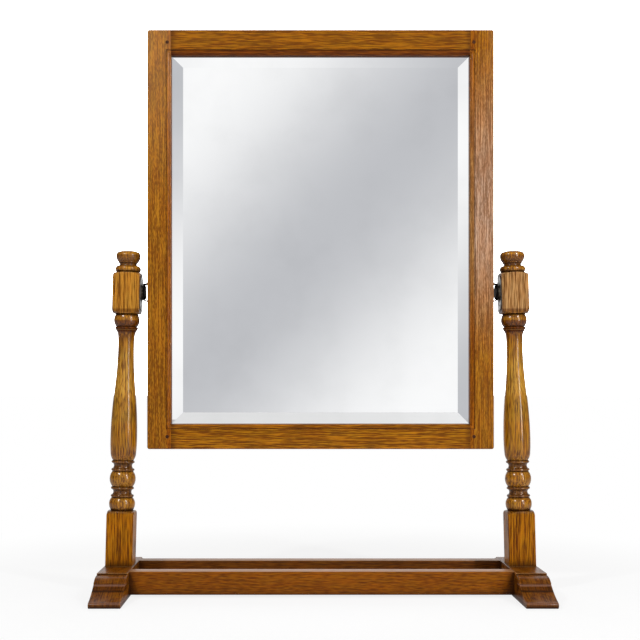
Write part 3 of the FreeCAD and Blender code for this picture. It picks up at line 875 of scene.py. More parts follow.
# ------------------------------------------------------------------ posts
@dataclass(frozen=True)
class TurnedPost:
    """Post turned from square stock, leaning outwards towards its foot.

    Attributes:
        size: Side of the square stock.
        rake: Lean in degrees.
        easing: Rounding of the square's arrises.
        reach: Distance of its axis from the middle at the pivot.
        foot_top: Height of the top of the foot.
        pivot_height: Height of the pivot above the floor.
        base: Length of the square base, with its shoulder.
        base_shoulder: Length of that shoulder.
        neck: Diameter where a shoulder meets the next member.
        ball: Diameter of the balls.
        lower_ball: Length of the lower ball.
        upper_ball: Length of the upper ball.
        groove: Diameter between the members.
        ring: Diameter of the rings.
        ring_length: Length of a ring.
        cove: Diameter of the coves.
        cove_length: Length of a cove.
        vase: Widest diameter of the vase.
        vase_foot: Length from its widest part to its foot.
        vase_neck: Diameter of its neck.
        knee: Share of the radius and of the foot's length where the vase turns inwards.
        vase_turn: Share of the taper where it turns from full to hollow.
        trumpet: Length of the flare above the vase.
        trumpet_rise: Widening of the slow part of the flare.
        trumpet_mouth: Diameter of its upper end.
        trumpet_turn: Share of the flare where it quickens.
        bead: Diameter of the bead below the block.
        bead_length: Length of that bead.
        block_above: Height of the square block above the pivot.
        block_below: Its depth below the pivot.
        block_shoulder: Length of its shoulders.
        collar: Diameter of the collar.
        collar_length: Length of the collar.
        finial_neck: Diameter below the cap.
        finial_neck_length: Length of that neck.
        cap_ring: Diameter of the cap's ring.
        ring_lip: Depth of the ring's roundings.
        cap: Diameter of the cap.
        cap_cup: Height from the ring to the widest part of the cap.
        cap_dome: Height of the dome above it.
        cap_rim: Share of the radius and of the dome's height where its edge turns.
        facets: Faces round the turning.
    """

    size: float = 33.4
    rake: float = 1.5
    easing: float = 1.1
    reach: float = 240.7
    foot_top: float = 31.2
    pivot_height: float = 371.0
    base: float = 68.4
    base_shoulder: float = 14.0
    neck: float = 27.2
    ball: float = 32.2
    lower_ball: float = 16.4
    upper_ball: float = 19.6
    groove: float = 25.2
    ring: float = 28.6
    ring_length: float = 3.3
    cove: float = 22.4
    cove_length: float = 6.4
    vase: float = 33.0
    vase_foot: float = 25.7
    vase_neck: float = 19.9
    knee: Pair = (0.955, 0.33)
    vase_turn: float = 0.52
    trumpet: float = 20.0
    trumpet_rise: float = 0.5
    trumpet_mouth: float = 27.0
    trumpet_turn: float = 0.6
    bead: float = 32.0
    bead_length: float = 16.0
    block_above: float = 24.8
    block_below: float = 27.0
    block_shoulder: float = 14.5
    collar: float = 31.8
    collar_length: float = 8.4
    finial_neck: float = 22.0
    finial_neck_length: float = 4.6
    cap_ring: float = 24.4
    ring_lip: float = 0.35
    cap: float = 30.4
    cap_cup: float = 7.6
    cap_dome: float = 7.3
    cap_rim: Pair = (0.88, 0.62)
    facets: int = 128

    @property
    def foot_centre(self) -> float:
        """Distance of its axis from the middle at the top of the foot."""
        rise = self.pivot_height - self.foot_top
        return self.reach + rise * math.tan(math.radians(self.rake))

    @property
    def over_corners(self) -> float:
        """Radius that clears the corners of the square."""
        return self.size * 0.75

    @property
    def up_to_pivot(self) -> float:
        """Length along the post from the foot to the pivot."""
        return (self.pivot_height - self.foot_top) / math.cos(math.radians(self.rake))

    def add_ball(self, path: FlatPath, length: float, widest: float, end: float) -> None:
        """Add a ball or bead.

        Args:
            path: Outline to add to.
            length: Its length.
            widest: Its diameter.
            end: Diameter at its upper end.
        """
        base = path.last[1]
        path.arrive((0, 1), (widest / 2, base + length / 2))
        path.carry_on((end / 2, base + length))

    def add_ring(self, path: FlatPath) -> None:
        """Add a thin half-round ring."""
        top = path.last[1] + self.ring_length
        path.bulge((self.ring - self.groove) / 2, (self.groove / 2, top))

    def add_ring_pair(self, path: FlatPath) -> None:
        """Add a ring, a cove and another ring.

        Args:
            path: Outline to add to.
        """
        self.add_ring(path)
        top = path.last[1] + self.cove_length
        path.bulge(-(self.groove - self.cove) / 2, (self.groove / 2, top))
        self.add_ring(path)

    def add_vase(self, path: FlatPath, length: float) -> None:
        """Add the vase: a full foot, a widest part and a slow taper.

        Args:
            path: Outline to add to.
            length: Its length.
        """
        base = path.last[1]
        widest = base + self.vase_foot
        radius = self.vase / 2
        knee = (radius * self.knee[0], base + self.vase_foot * self.knee[1])
        rise = 2 * math.atan2(widest - knee[1], radius - knee[0]) - math.pi / 2
        path.arrive((math.cos(rise), math.sin(rise)), knee)
        path.carry_on((radius, widest))
        narrowed = (self.vase_neck / 2 - radius) * self.vase_turn
        path.arc((0, 1), (
            radius + narrowed, widest + (length - self.vase_foot) * self.vase_turn))
        path.carry_on((self.vase_neck / 2, base + length))

    def add_trumpet(self, path: FlatPath) -> None:
        """Add the flare from the neck of the vase to the ring above it.

        Args:
            path: Outline to add to.
        """
        waist, base = path.last
        path.arc((0, 1), (waist + self.trumpet_rise, base + self.trumpet * self.trumpet_turn))
        path.carry_on((self.trumpet_mouth / 2, base + self.trumpet))
        path.line((self.groove / 2, base + self.trumpet))

    def add_finial(self, path: FlatPath) -> None:
        """Add the collar, its neck and the domed cap.

        Args:
            path: Outline to add to.
        """
        self.add_ball(path, self.collar_length, self.collar, self.finial_neck)
        cap_base = path.last[1] + self.finial_neck_length
        widest = cap_base + self.cap_cup
        path.bulge(-self.ring_lip, (self.finial_neck / 2, cap_base - self.ring_length / 2))
        path.bulge(self.ring_lip, (self.cap_ring / 2, cap_base))
        path.arrive((0, 1), (self.cap / 2, widest))
        rim, rise = self.cap_rim
        path.carry_on((self.cap / 2 * rim, widest + self.cap_dome * rise))
        path.arrive((-1, 0), (0, widest + self.cap_dome))

    def outline(self) -> list[Pair]:
        """Half outline that the lathe leaves, from below the foot's top up to the cap.

        Returns:
            Its points as (radius, height above the foot).
        """
        block_base = self.up_to_pivot - self.block_below
        path = FlatPath(0, -2)
        path.line((self.over_corners, -2), (self.over_corners, self.base - self.base_shoulder))
        path.arrive((-1, 0), (self.neck / 2, self.base), 30)
        self.add_ball(path, self.lower_ball, self.ball, self.groove)
        self.add_ring_pair(path)
        self.add_ball(path, self.upper_ball, self.ball, self.groove)
        self.add_ring_pair(path)
        above = self.bead_length + self.ring_length + self.trumpet
        self.add_vase(path, block_base - above - path.last[1])
        self.add_trumpet(path)
        self.add_ring(path)
        self.add_ball(path, self.bead_length, self.bead, self.neck)
        path.arc((1, 0), (self.over_corners, block_base + self.block_shoulder), 24)
        shoulder_base = self.up_to_pivot + self.block_above - self.block_shoulder
        path.line((self.over_corners, shoulder_base))
        path.arrive((-1, 0), (self.neck / 2, shoulder_base + self.block_shoulder), 24)
        self.add_finial(path)
        return path.points

    def stains_and_shading(self) -> tuple[Zone, ...]:
        """Stretches of the turning whose colour differs: stains, dirt and painted shade in its
        grooves, coves and necks, and a painted sheen that pales the upper vase.

        Returns:
            The stretches.
        """
        purple = (0.50, 0.45, 0.90)
        pair = 2 * self.ring_length + self.cove_length
        base_top = self.foot_top + self.base
        lower_pair = base_top + self.lower_ball
        upper_pair = lower_pair + pair + self.upper_ball
        vase_base = upper_pair + pair
        block_base = self.pivot_height - self.block_below
        bead_base = block_base - self.bead_length
        block_top = self.pivot_height + self.block_above
        neck = block_top + self.collar_length
        return (
            Zone.stain(0, base_top - 3, (0.92, 0.78, 0.25)),
            # Dirt and painted shade in the neck above the square base.
            Zone.stain(base_top - 3, base_top + 3, (0.65, 0.60, 0.70)),
            # Dirt and painted shade in the rings and coves.
            Zone.stain(lower_pair, lower_pair + pair, purple),
            Zone.stain(upper_pair, vase_base, purple),
            Zone.stain(vase_base + 2, vase_base + 12, (0.78, 0.72, 0.70), 3),
            Zone.stain(vase_base + 10, vase_base + 40, (0.92, 0.90, 0.55), 8),
            Zone.stain(vase_base + 48, vase_base + 78, (0.88, 0.96, 1.1), 5),
            # Painted sheen that pales the upper vase.
            Zone.stain(vase_base + 80, vase_base + 137, (1.14, 1.34, 2.6), 8),
            # Dirt and painted shade round the foot of the bead and on the trumpet below it.
            Zone.stain(bead_base - 7, bead_base + 8, (0.40, 0.28, 0.10)),
            Zone.stain(bead_base - 16, bead_base, (0.56, 0.46, 0.10), 8),
            # Dirt and painted shade under the block's lower shoulder and in the neck below the
            # cap.
            Zone.stain(block_base + 1, block_base + 6, (0.55, 0.50, 0.60)),
            Zone.stain(neck - 2, neck + 13, (0.54, 0.48, 0.50)),
        )

    def flats(self) -> tuple[Zone, ...]:
        """Stretches whose polish has gone: the square ones, and the cove under the bead.

        Returns:
            The stretches.
        """
        dull = (0.0, 0.0, 0.0)
        base_top = self.foot_top + self.base
        low, high = self.pivot_height - self.block_below, self.pivot_height + self.block_above
        cove = low - self.bead_length
        return (
            Zone.stain(0, base_top - 2, dull), Zone.stain(cove - 6, cove - 0.5, dull),
            Zone.stain(low + 2, high - 2, dull))

    def square_reach(self, angle: float) -> float:
        """Distance from the axis to the face of the eased square stock.

        Args:
            angle: Direction round the axis.

        Returns:
            The distance.
        """
        folded = abs((angle + math.pi / 4) % (math.pi / 2) - math.pi / 4)
        half = self.size / 2
        flat = half / math.cos(folded)
        corner = math.hypot(half - self.easing, half - self.easing)
        off = math.pi / 4 - folded
        swing = corner * math.sin(off)
        rounded = corner * math.cos(off)
        if swing < self.easing:
            rounded += math.sqrt(self.easing ** 2 - swing ** 2)
            return min(flat, rounded)
        return flat

    def crowded(self, angle: float) -> float:
        """Move an angle towards the nearest arris, so that the arrises get more faces.

        Args:
            angle: Direction round the axis.

        Returns:
            The moved angle.
        """
        quarter = math.pi / 2
        share = (angle % quarter) / quarter
        side = 2 * share - 1
        eased = math.copysign(0.25 * abs(side) + 0.75 * abs(side) ** 2.2, side)
        return angle - share * quarter + (eased + 1) / 2 * quarter

    def mesh(self, side: Side) -> BMesh:
        """Post in its place.

        Args:
            side: Which post.

        Returns:
            Its mesh.
        """
        bm = bmesh.new()
        verts = [bm.verts.new((radius, 0, height)) for radius, height in self.outline()]
        edges = [bm.edges.new(pair) for pair in zip(verts, verts[1:])]
        bmesh.ops.spin(
            bm, geom=[*verts, *edges], cent=(0, 0, 0), axis=(0, 0, 1), angle=math.tau,
            steps=self.facets, use_merge=True)
        close_and_orient(bm)
        for vert in bm.verts:
            angle = self.crowded(math.atan2(vert.co.y, vert.co.x))
            radius = min(math.hypot(vert.co.x, vert.co.y), self.square_reach(angle))
            vert.co.x = radius * math.cos(angle)
            vert.co.y = radius * math.sin(angle)
        lean = Matrix.Rotation(math.radians(-self.rake * side.value), 4, "Y")
        place = Matrix.Translation((self.foot_centre * side.value, 0, self.foot_top))
        bmesh.ops.transform(bm, matrix=place @ lean, verts=bm.verts)
        cut = bmesh.ops.bisect_plane(
            bm, geom=[*bm.verts, *bm.edges, *bm.faces], plane_co=(0, 0, self.foot_top),
            plane_no=(0, 0, 1), clear_inner=True)
        rim = [item for item in cut["geom_cut"] if isinstance(item, BMEdge)]
        bmesh.ops.contextual_create(bm, geom=rim)
        close_and_orient(bm)
        return bm


# ------------------------------------------------------------------ feet and stretchers
@dataclass(frozen=True)
class SledgeBase:
    """Two moulded feet joined by a front and a rear stretcher.

    Attributes:
        foot_centre: Distance of a foot's middle from the middle of the base.
        length: Length of a foot.
        width: Width of a foot.
        height: Height of a foot.
        flat: Length of its level top.
        quirk: Step down from the level top.
        thumb_length: Length of the convex moulding.
        thumb_height: Height of the convex moulding.
        thumb_step: Step down below it.
        nose_height: Height of the rounded toe.
        nose_setback: How far the toe's rounding starts behind its tip.
        sweep_hollow: Depth of the hollow between the moulding and the toe.
        foot_easing: Rounding of the foot's side arrises.
        stretcher_height: Height of a stretcher.
        stretcher_thickness: Thickness of a stretcher.
        stretcher_spacing: Distance between the stretchers' middles.
        stretcher_easing: Rounding of the stretchers' long arrises.
    """

    foot_centre: float
    length: float = 254.0
    width: float = 37.0
    height: float = 31.2
    flat: float = 132.0
    quirk: float = 2.2
    thumb_length: float = 22.5
    thumb_height: float = 5.8
    thumb_step: float = 1.6
    nose_height: float = 7.2
    nose_setback: float = 3.5
    sweep_hollow: float = 1.4
    foot_easing: float = 0.7
    stretcher_height: float = 28.0
    stretcher_thickness: float = 21.0
    stretcher_spacing: float = 88.0
    stretcher_easing: float = 0.9

    @property
    def inner_face(self) -> float:
        """Distance from the middle of the base to the inner side of a foot."""
        return self.foot_centre - self.width / 2

    def half_outline(self) -> list[Pair]:
        """Outline of one end of a foot, from the floor round the toe to the level top.

        Returns:
            Its points as (distance from the middle, height).
        """
        toe = self.length / 2
        thumb_top = self.height - self.quirk
        thumb_end = self.flat / 2 + self.thumb_length
        sweep_top = thumb_top - self.thumb_height - self.thumb_step
        path = FlatPath(toe - self.nose_setback, 0)
        path.arc((1, 0), (toe, self.nose_height / 2), 7)
        path.carry_on((toe - self.nose_setback, self.nose_height))
        path.bulge(-self.sweep_hollow, (thumb_end, sweep_top))
        path.line((thumb_end, sweep_top + self.thumb_step))
        path.bulge(self.thumb_height / 3, (self.flat / 2, thumb_top))
        path.line((self.flat / 2, self.height))
        return path.points

    def foot_mesh(self, side: Side) -> BMesh:
        """Foot in its place.

        Args:
            side: Which foot.

        Returns:
            Its mesh.
        """
        back = self.half_outline()
        front = [(-across, up) for across, up in reversed(back)]
        low = self.foot_centre * side.value - self.width / 2
        bm = bmesh.new()
        ring = [bm.verts.new((low, across, up)) for across, up in [*back, *front]]
        face = bm.faces.new(ring)
        made = bmesh.ops.extrude_face_region(bm, geom=[face], use_keep_orig=True)["geom"]
        moved = [item for item in made if isinstance(item, BMVert)]
        bmesh.ops.translate(bm, vec=(self.width, 0, 0), verts=moved)
        close_and_orient(bm)
        sides = [edge for edge in bm.edges if abs(edge.verts[0].co.x - edge.verts[1].co.x) < 1]
        round_edges(bm, sides, self.foot_easing, 3)
        return bm

    def stretcher_mesh(self, side: Side) -> BMesh:
        """Stretcher in its place.

        Args:
            side: Left for the front stretcher and right for the rear one.

        Returns:
            Its mesh.
        """
        reach = self.inner_face
        middle = side.value * self.stretcher_spacing / 2
        half = self.stretcher_thickness / 2
        bm = block(
            Vector((-reach, middle - half, self.height - self.stretcher_height)),
            Vector((reach, middle + half, self.height)))
        long_edges = [e for e in bm.edges if abs(e.verts[0].co.x - e.verts[1].co.x) > 1]
        round_edges(bm, long_edges, self.stretcher_easing, 4)
        return bm


# ------------------------------------------------------------------ mirror frame
@dataclass(frozen=True)
class MirrorFrame:
    """Pegged frame with a quirked ovolo round its sight.

    Attributes:
        width: Overall width.
        height: Overall height.
        thickness: Thickness.
        bottom: Height of its lower edge above the floor.
        stile: Width of the stiles.
        rail: Width of the rails.
        easing: Rounding of the outer arrises.
        corner: Rounding of the four worn corners.
        joint: Rounding of the arrises at the joints.
        ovolo: Radius of the sight moulding.
        quirk_width: Width of the quirk beside it.
        quirk_depth: Depth of the quirk.
        lip: Wood left between the moulding and the rebate.
        glass_rebate: Width of the rebate for the glass.
        board_rebate: Width of the rebate for the backboard.
        board: Thickness of the backboard.
        peg: Diameter of the pegs.
        peg_inset: Distance of a peg from the joint.
        peg_proud: How far a peg stands out.
        peg_sunk: How far its shown end reaches into the frame.
        peg_easing: How far it narrows at its end.
    """

    width: float = 430.0
    height: float = 520.0
    thickness: float = 22.0
    bottom: float = 176.0
    stile: float = 29.5
    rail: float = 31.0
    easing: float = 1.6
    corner: float = 2.6
    joint: float = 0.35
    ovolo: float = 5.4
    quirk_width: float = 0.9
    quirk_depth: float = 1.2
    lip: float = 3.0
    glass_rebate: float = 8.0
    board_rebate: float = 14.0
    board: float = 5.0
    peg: float = 5.0
    peg_inset: float = 4.6
    peg_proud: float = 0.2
    peg_sunk: float = 2.0
    peg_easing: float = 0.35

    @property
    def sight_side(self) -> float:
        """Distance from the middle to the sight edge of a stile."""
        return self.width / 2 - self.stile

    @property
    def sight_half_height(self) -> float:
        """Half the height of the opening."""
        return self.height / 2 - self.rail

    @property
    def middle(self) -> float:
        """Height of the frame's centre above the floor."""
        return self.bottom + self.height / 2

    def moulded(self) -> list[Pair]:
        """Inner side of a section as (distance beyond the sight, depth), front to back.

        Returns:
            Its points.
        """
        back = self.thickness
        edge = self.ovolo + self.quirk_width
        path = FlatPath(edge, 0)
        path.line((edge, self.quirk_depth), (self.ovolo, self.quirk_depth))
        path.arc((-1, 0), (0, self.ovolo + self.quirk_depth), 10)
        lip_back = self.ovolo + self.quirk_depth + self.lip
        path.line(
            (0, lip_back), (self.glass_rebate, lip_back), (self.glass_rebate, back - self.board),
            (self.board_rebate, back - self.board), (self.board_rebate, back))
        return path.points

    def mitred(self, reached: int, depths: int) -> list[Pair]:
        """Inner side of a stile's section beside the rails, where the mouldings mitre.

        Args:
            reached: Point of the moulding whose distance the section has gone past the sight.
            depths: How many of the two rebates are cut there.

        Returns:
            As many points as the moulded section has.
        """
        kept = self.moulded()
        level = kept[reached][1]
        front = [(across, min(depth, level)) for across, depth in kept[:-5]]
        board_front = self.thickness - self.board
        closed = {
            2: kept[-5:], 1: [(0.0, board_front)] * 3 + kept[-2:], 0: [(0.0, self.thickness)] * 5}
        return front + closed[depths]

    def plain(self, depths: int) -> list[Pair]:
        """Inner side of a stile's section where its front is flat.

        Args:
            depths: How many of the two rebates are cut there.

        Returns:
            As many points as the moulded section has.
        """
        flat = self.mitred(0, depths)
        return [(0.0, 0.0)] * (len(flat) - 5) + flat[-5:]

    def stile_end(self) -> list[tuple[float, list[Pair]]]:
        """Heights above the middle, from the sight upwards, with a stile's section there.

        Returns:
            Each height with the inner points of the section.
        """
        sight = self.sight_half_height
        kept = self.moulded()[:-5]
        mitre = [
            (sight + kept[point][0], self.mitred(point, 2)) for point in reversed(range(len(kept)))
        ]
        glass_end = sight + self.glass_rebate
        board_end = sight + self.board_rebate
        return [
            *mitre, (glass_end, self.plain(2)), (glass_end, self.plain(1)),
            (board_end, self.plain(1)), (board_end, self.plain(0)),
            (self.height / 2, self.plain(0)),
        ]

    def member_mesh(
        self, half_opening: float, outer: float, stations: list[tuple[float, list[Pair]]]
    ) -> BMesh:
        """Member of the frame to the right of the origin, standing upright.

        Args:
            half_opening: Distance from the origin to its sight edge.
            outer: Width of the member.
            stations: Heights from below upwards, with the inner points of the section there.

        Returns:
            Its mesh, with the frame's front face at a depth of half its thickness.
        """
        bm = bmesh.new()
        rings = []
        for height, inner in stations:
            points = [(outer, 0.0), *inner, (outer, self.thickness)]
            rings.append([
                bm.verts.new((half_opening + across, depth - self.thickness / 2, height))
                for across, depth in points
            ])
        for low, high in zip(rings, rings[1:]):
            for index in range(len(low)):
                after = (index + 1) % len(low)
                bm.faces.new((low[index], low[after], high[after], high[index]))
        bm.faces.new(rings[0])
        bm.faces.new(rings[-1])
        bmesh.ops.remove_doubles(bm, verts=bm.verts, dist=MERGED)
        bmesh.ops.dissolve_degenerate(bm, edges=bm.edges, dist=MERGED / 2)
        bmesh.ops.recalc_face_normals(bm, faces=bm.faces)
        return bm

    def stile_mesh(self, side: Side) -> BMesh:
        """Stile in its place.

        Args:
            side: Which stile.

        Returns:
            Its mesh.
        """
        upper = self.stile_end()
        lower = [(-height, section) for height, section in reversed(upper)]
        bm = self.member_mesh(self.sight_side, self.stile, [*lower, *upper])
        half = self.thickness / 2
        top = self.height / 2
        corners = [edge for edge in bm.edges if self.at_corner(edge)]
        round_edges(bm, corners, self.corner, 5)
        arrises = [edge for edge in bm.edges if self.is_outer_arris(edge)]
        round_edges(bm, arrises, self.easing, 4)
        joint_edges = [
            edge for edge in bm.edges
            if all(
                abs(vert.co.x - self.sight_side) < NEAR and abs(vert.co.y + half) < NEAR
                and abs(vert.co.z) < top - self.easing
                for vert in edge.verts)
        ]
        round_edges(bm, joint_edges, self.joint, 2)
        return self.turned_into_place(bm, 0 if side is Side.RIGHT else 2)

    def at_corner(self, edge: BMEdge) -> bool:
        """Whether an edge of an upright stile is an outer corner of the frame.

        Args:
            edge: The edge.

        Returns:
            True for an outer corner.
        """
        return all(
            abs(vert.co.x - self.width / 2) < NEAR and abs(abs(vert.co.z) - self.height / 2) < NEAR
            for vert in edge.verts)

    def is_outer_arris(self, edge: BMEdge) -> bool:
        """Whether an edge of an upright stile runs round the frame's front or back.

        Args:
            edge: The edge.

        Returns:
            True for an outer arris.
        """
        half = self.thickness / 2
        if any(abs(abs(vert.co.y) - half) > NEAR for vert in edge.verts):
            return False
        if edge.verts[0].co.y * edge.verts[1].co.y < 0:
            return False
        end = self.height / 2 - self.corner - NEAR
        for face in edge.link_faces:
            face.normal_update()
            at_end = all(abs(vert.co.z) > end for vert in edge.verts)
            if face.normal.x > 0.05 or (at_end and abs(face.normal.z) > 0.05):
                return True
        return False

    def rail_mesh(self, at_top: bool) -> BMesh:
        """Rail in its place.

        Args:
            at_top: Whether it is the top rail.

        Returns:
            Its mesh.
        """
        sight = self.sight_side
        stations = [(-sight, self.moulded()), (sight, self.moulded())]
        bm = self.member_mesh(self.sight_half_height, self.rail, stations)
        outer = self.height / 2
        half = self.thickness / 2
        long_edges = []
        end_edges = []
        for edge in bm.edges:
            points = [vert.co for vert in edge.verts]
            is_long = abs(points[0].z - points[1].z) > 1
            if is_long and all(abs(point.x - outer) < NEAR for point in points):
                long_edges.append(edge)
            elif not is_long and all(abs(point.y + half) < NEAR for point in points):
                end_edges.append(edge)
        round_edges(bm, long_edges, self.easing, 5)
        end_edges = [edge for edge in end_edges if edge.is_valid]
        round_edges(bm, end_edges, self.joint, 2)
        return self.turned_into_place(bm, 1 if at_top else 3)

    def turned_into_place(self, bm: BMesh, quarter_turns: int) -> BMesh:
        """Turn a member about the frame's centre and lift it to its height.

        Args:
            bm: The upright member at the right of the origin.
            quarter_turns: Quarter turns that bring it to its side of the frame.

        Returns:
            The same mesh.
        """
        turn = Matrix.Rotation(-quarter_turns * math.pi / 2, 4, "Y")
        lift = Matrix.Translation((0, 0, self.middle))
        bmesh.ops.transform(bm, matrix=lift @ turn, verts=bm.verts)
        return bm

    def pegs_mesh(self) -> BMesh:
        """The ends of the four pegs that pin the corner joints, cut by hand.

        Returns:
            Their mesh.
        """
        bm = bmesh.new()
        half = self.height / 2 - self.rail / 2
        front = -self.thickness / 2
        length = self.peg_sunk + self.peg_proud
        turn = Matrix.Rotation(math.pi / 2, 4, "X")
        for across in (-1, 1):
            for up in (-1, 1):
                made = bmesh.ops.create_cone(
                    bm, cap_ends=True, segments=9, radius1=self.peg / 2,
                    radius2=self.peg / 2 - self.peg_easing, depth=length)
                place = Matrix.Translation((
                    across * (self.sight_side + self.peg_inset),
                    front - self.peg_proud + length / 2,
                    self.middle + up * half))
                spin = Matrix.Rotation(across + 0.7 * up, 4, "Z")
                bmesh.ops.transform(bm, matrix=place @ turn @ spin, verts=made["verts"])
        bmesh.ops.recalc_face_normals(bm, faces=bm.faces)
        return bm


@dataclass(frozen=True)
class BevelledPlate:
    """Mirror plate with a wide ground bevel along its front edges.

    Attributes:
        half_width: Half its width.
        half_height: Half its height.
        middle: Height of its centre above the floor.
        front: Depth of its front face.
        thickness: Thickness.
        bevel: Width of the bevel.
        drop: Depth of the bevel at the edge.
    """

    half_width: float = 193.0
    half_height: float = 236.5
    middle: float = 436.0
    front: float = -4.316
    thickness: float = 5.0
    bevel: float = 22.0
    drop: float = 2.3

    def mesh(self) -> BMesh:
        """Plate in its place.

        Returns:
            Its mesh.
        """
        low = Vector((-self.half_width, self.front + self.drop, self.middle - self.half_height))
        back = self.front + self.thickness
        high = Vector((self.half_width, back, self.middle + self.half_height))
        bm = block(low, high)
        face = min(bm.faces, key=lambda each: each.calc_center_median().y)
        bmesh.ops.inset_region(bm, faces=[face], thickness=self.bevel, use_even_offset=True)
        bmesh.ops.translate(bm, vec=(0, -self.drop, 0), verts=face.verts)
        bmesh.ops.recalc_face_normals(bm, faces=bm.faces)
        return bm


# ------------------------------------------------------------------ studio
@dataclass(frozen=True)
class StudioCamera:
    """Level camera in front of the object, with a lens shift to frame it.

    Attributes:
        place: Place of the lens in metres.
        lens: Focal length in millimetres.
        sensor: Width of the sensor in millimetres.
        shift: Shift of the frame as shares of its width.
    """

    place: Triple = (-0.038, -1.412, 0.249)
    lens: float = 63.6
    sensor: float = 36.0
    shift: Pair = (0.047, 0.1098)

    def build(self) -> None:
        """Place the camera and make it the scene's own."""
        data = bpy.data.cameras.new("studio_camera")
        data.lens = self.lens
        data.sensor_width = self.sensor
        data.shift_x, data.shift_y = self.shift
        camera = bpy.data.objects.new("studio_camera", data)
        camera.location = self.place
        camera.rotation_euler = (math.pi / 2, 0, 0)
        bpy.context.scene.collection.objects.link(camera)
        bpy.context.scene.camera = camera


@dataclass(frozen=True)
class Lamp:
    """Rectangular softbox that faces the object.

    Attributes:
        name: Name of the lamp.
        place: Its place in metres.
        size: Its width and height in metres.
        power: Watts.
        aim: Place in metres that it faces.
    """

    name: str
    place: Triple
    size: Pair
    power: float
    aim: Triple = (0, 0, 0.33)

    def build(self) -> None:
        """Hang the lamp."""
        data = bpy.data.lights.new(self.name, "AREA")
        data.shape = "RECTANGLE"
        data.size, data.size_y = self.size
        data.energy = self.power
        lamp = bpy.data.objects.new(self.name, data)
        lamp.location = self.place
        lamp.visible_camera = False
        toward = Vector(self.aim) - Vector(self.place)
        lamp.rotation_euler = toward.to_track_quat("-Z", "Y").to_euler()
        bpy.context.scene.collection.objects.link(lamp)


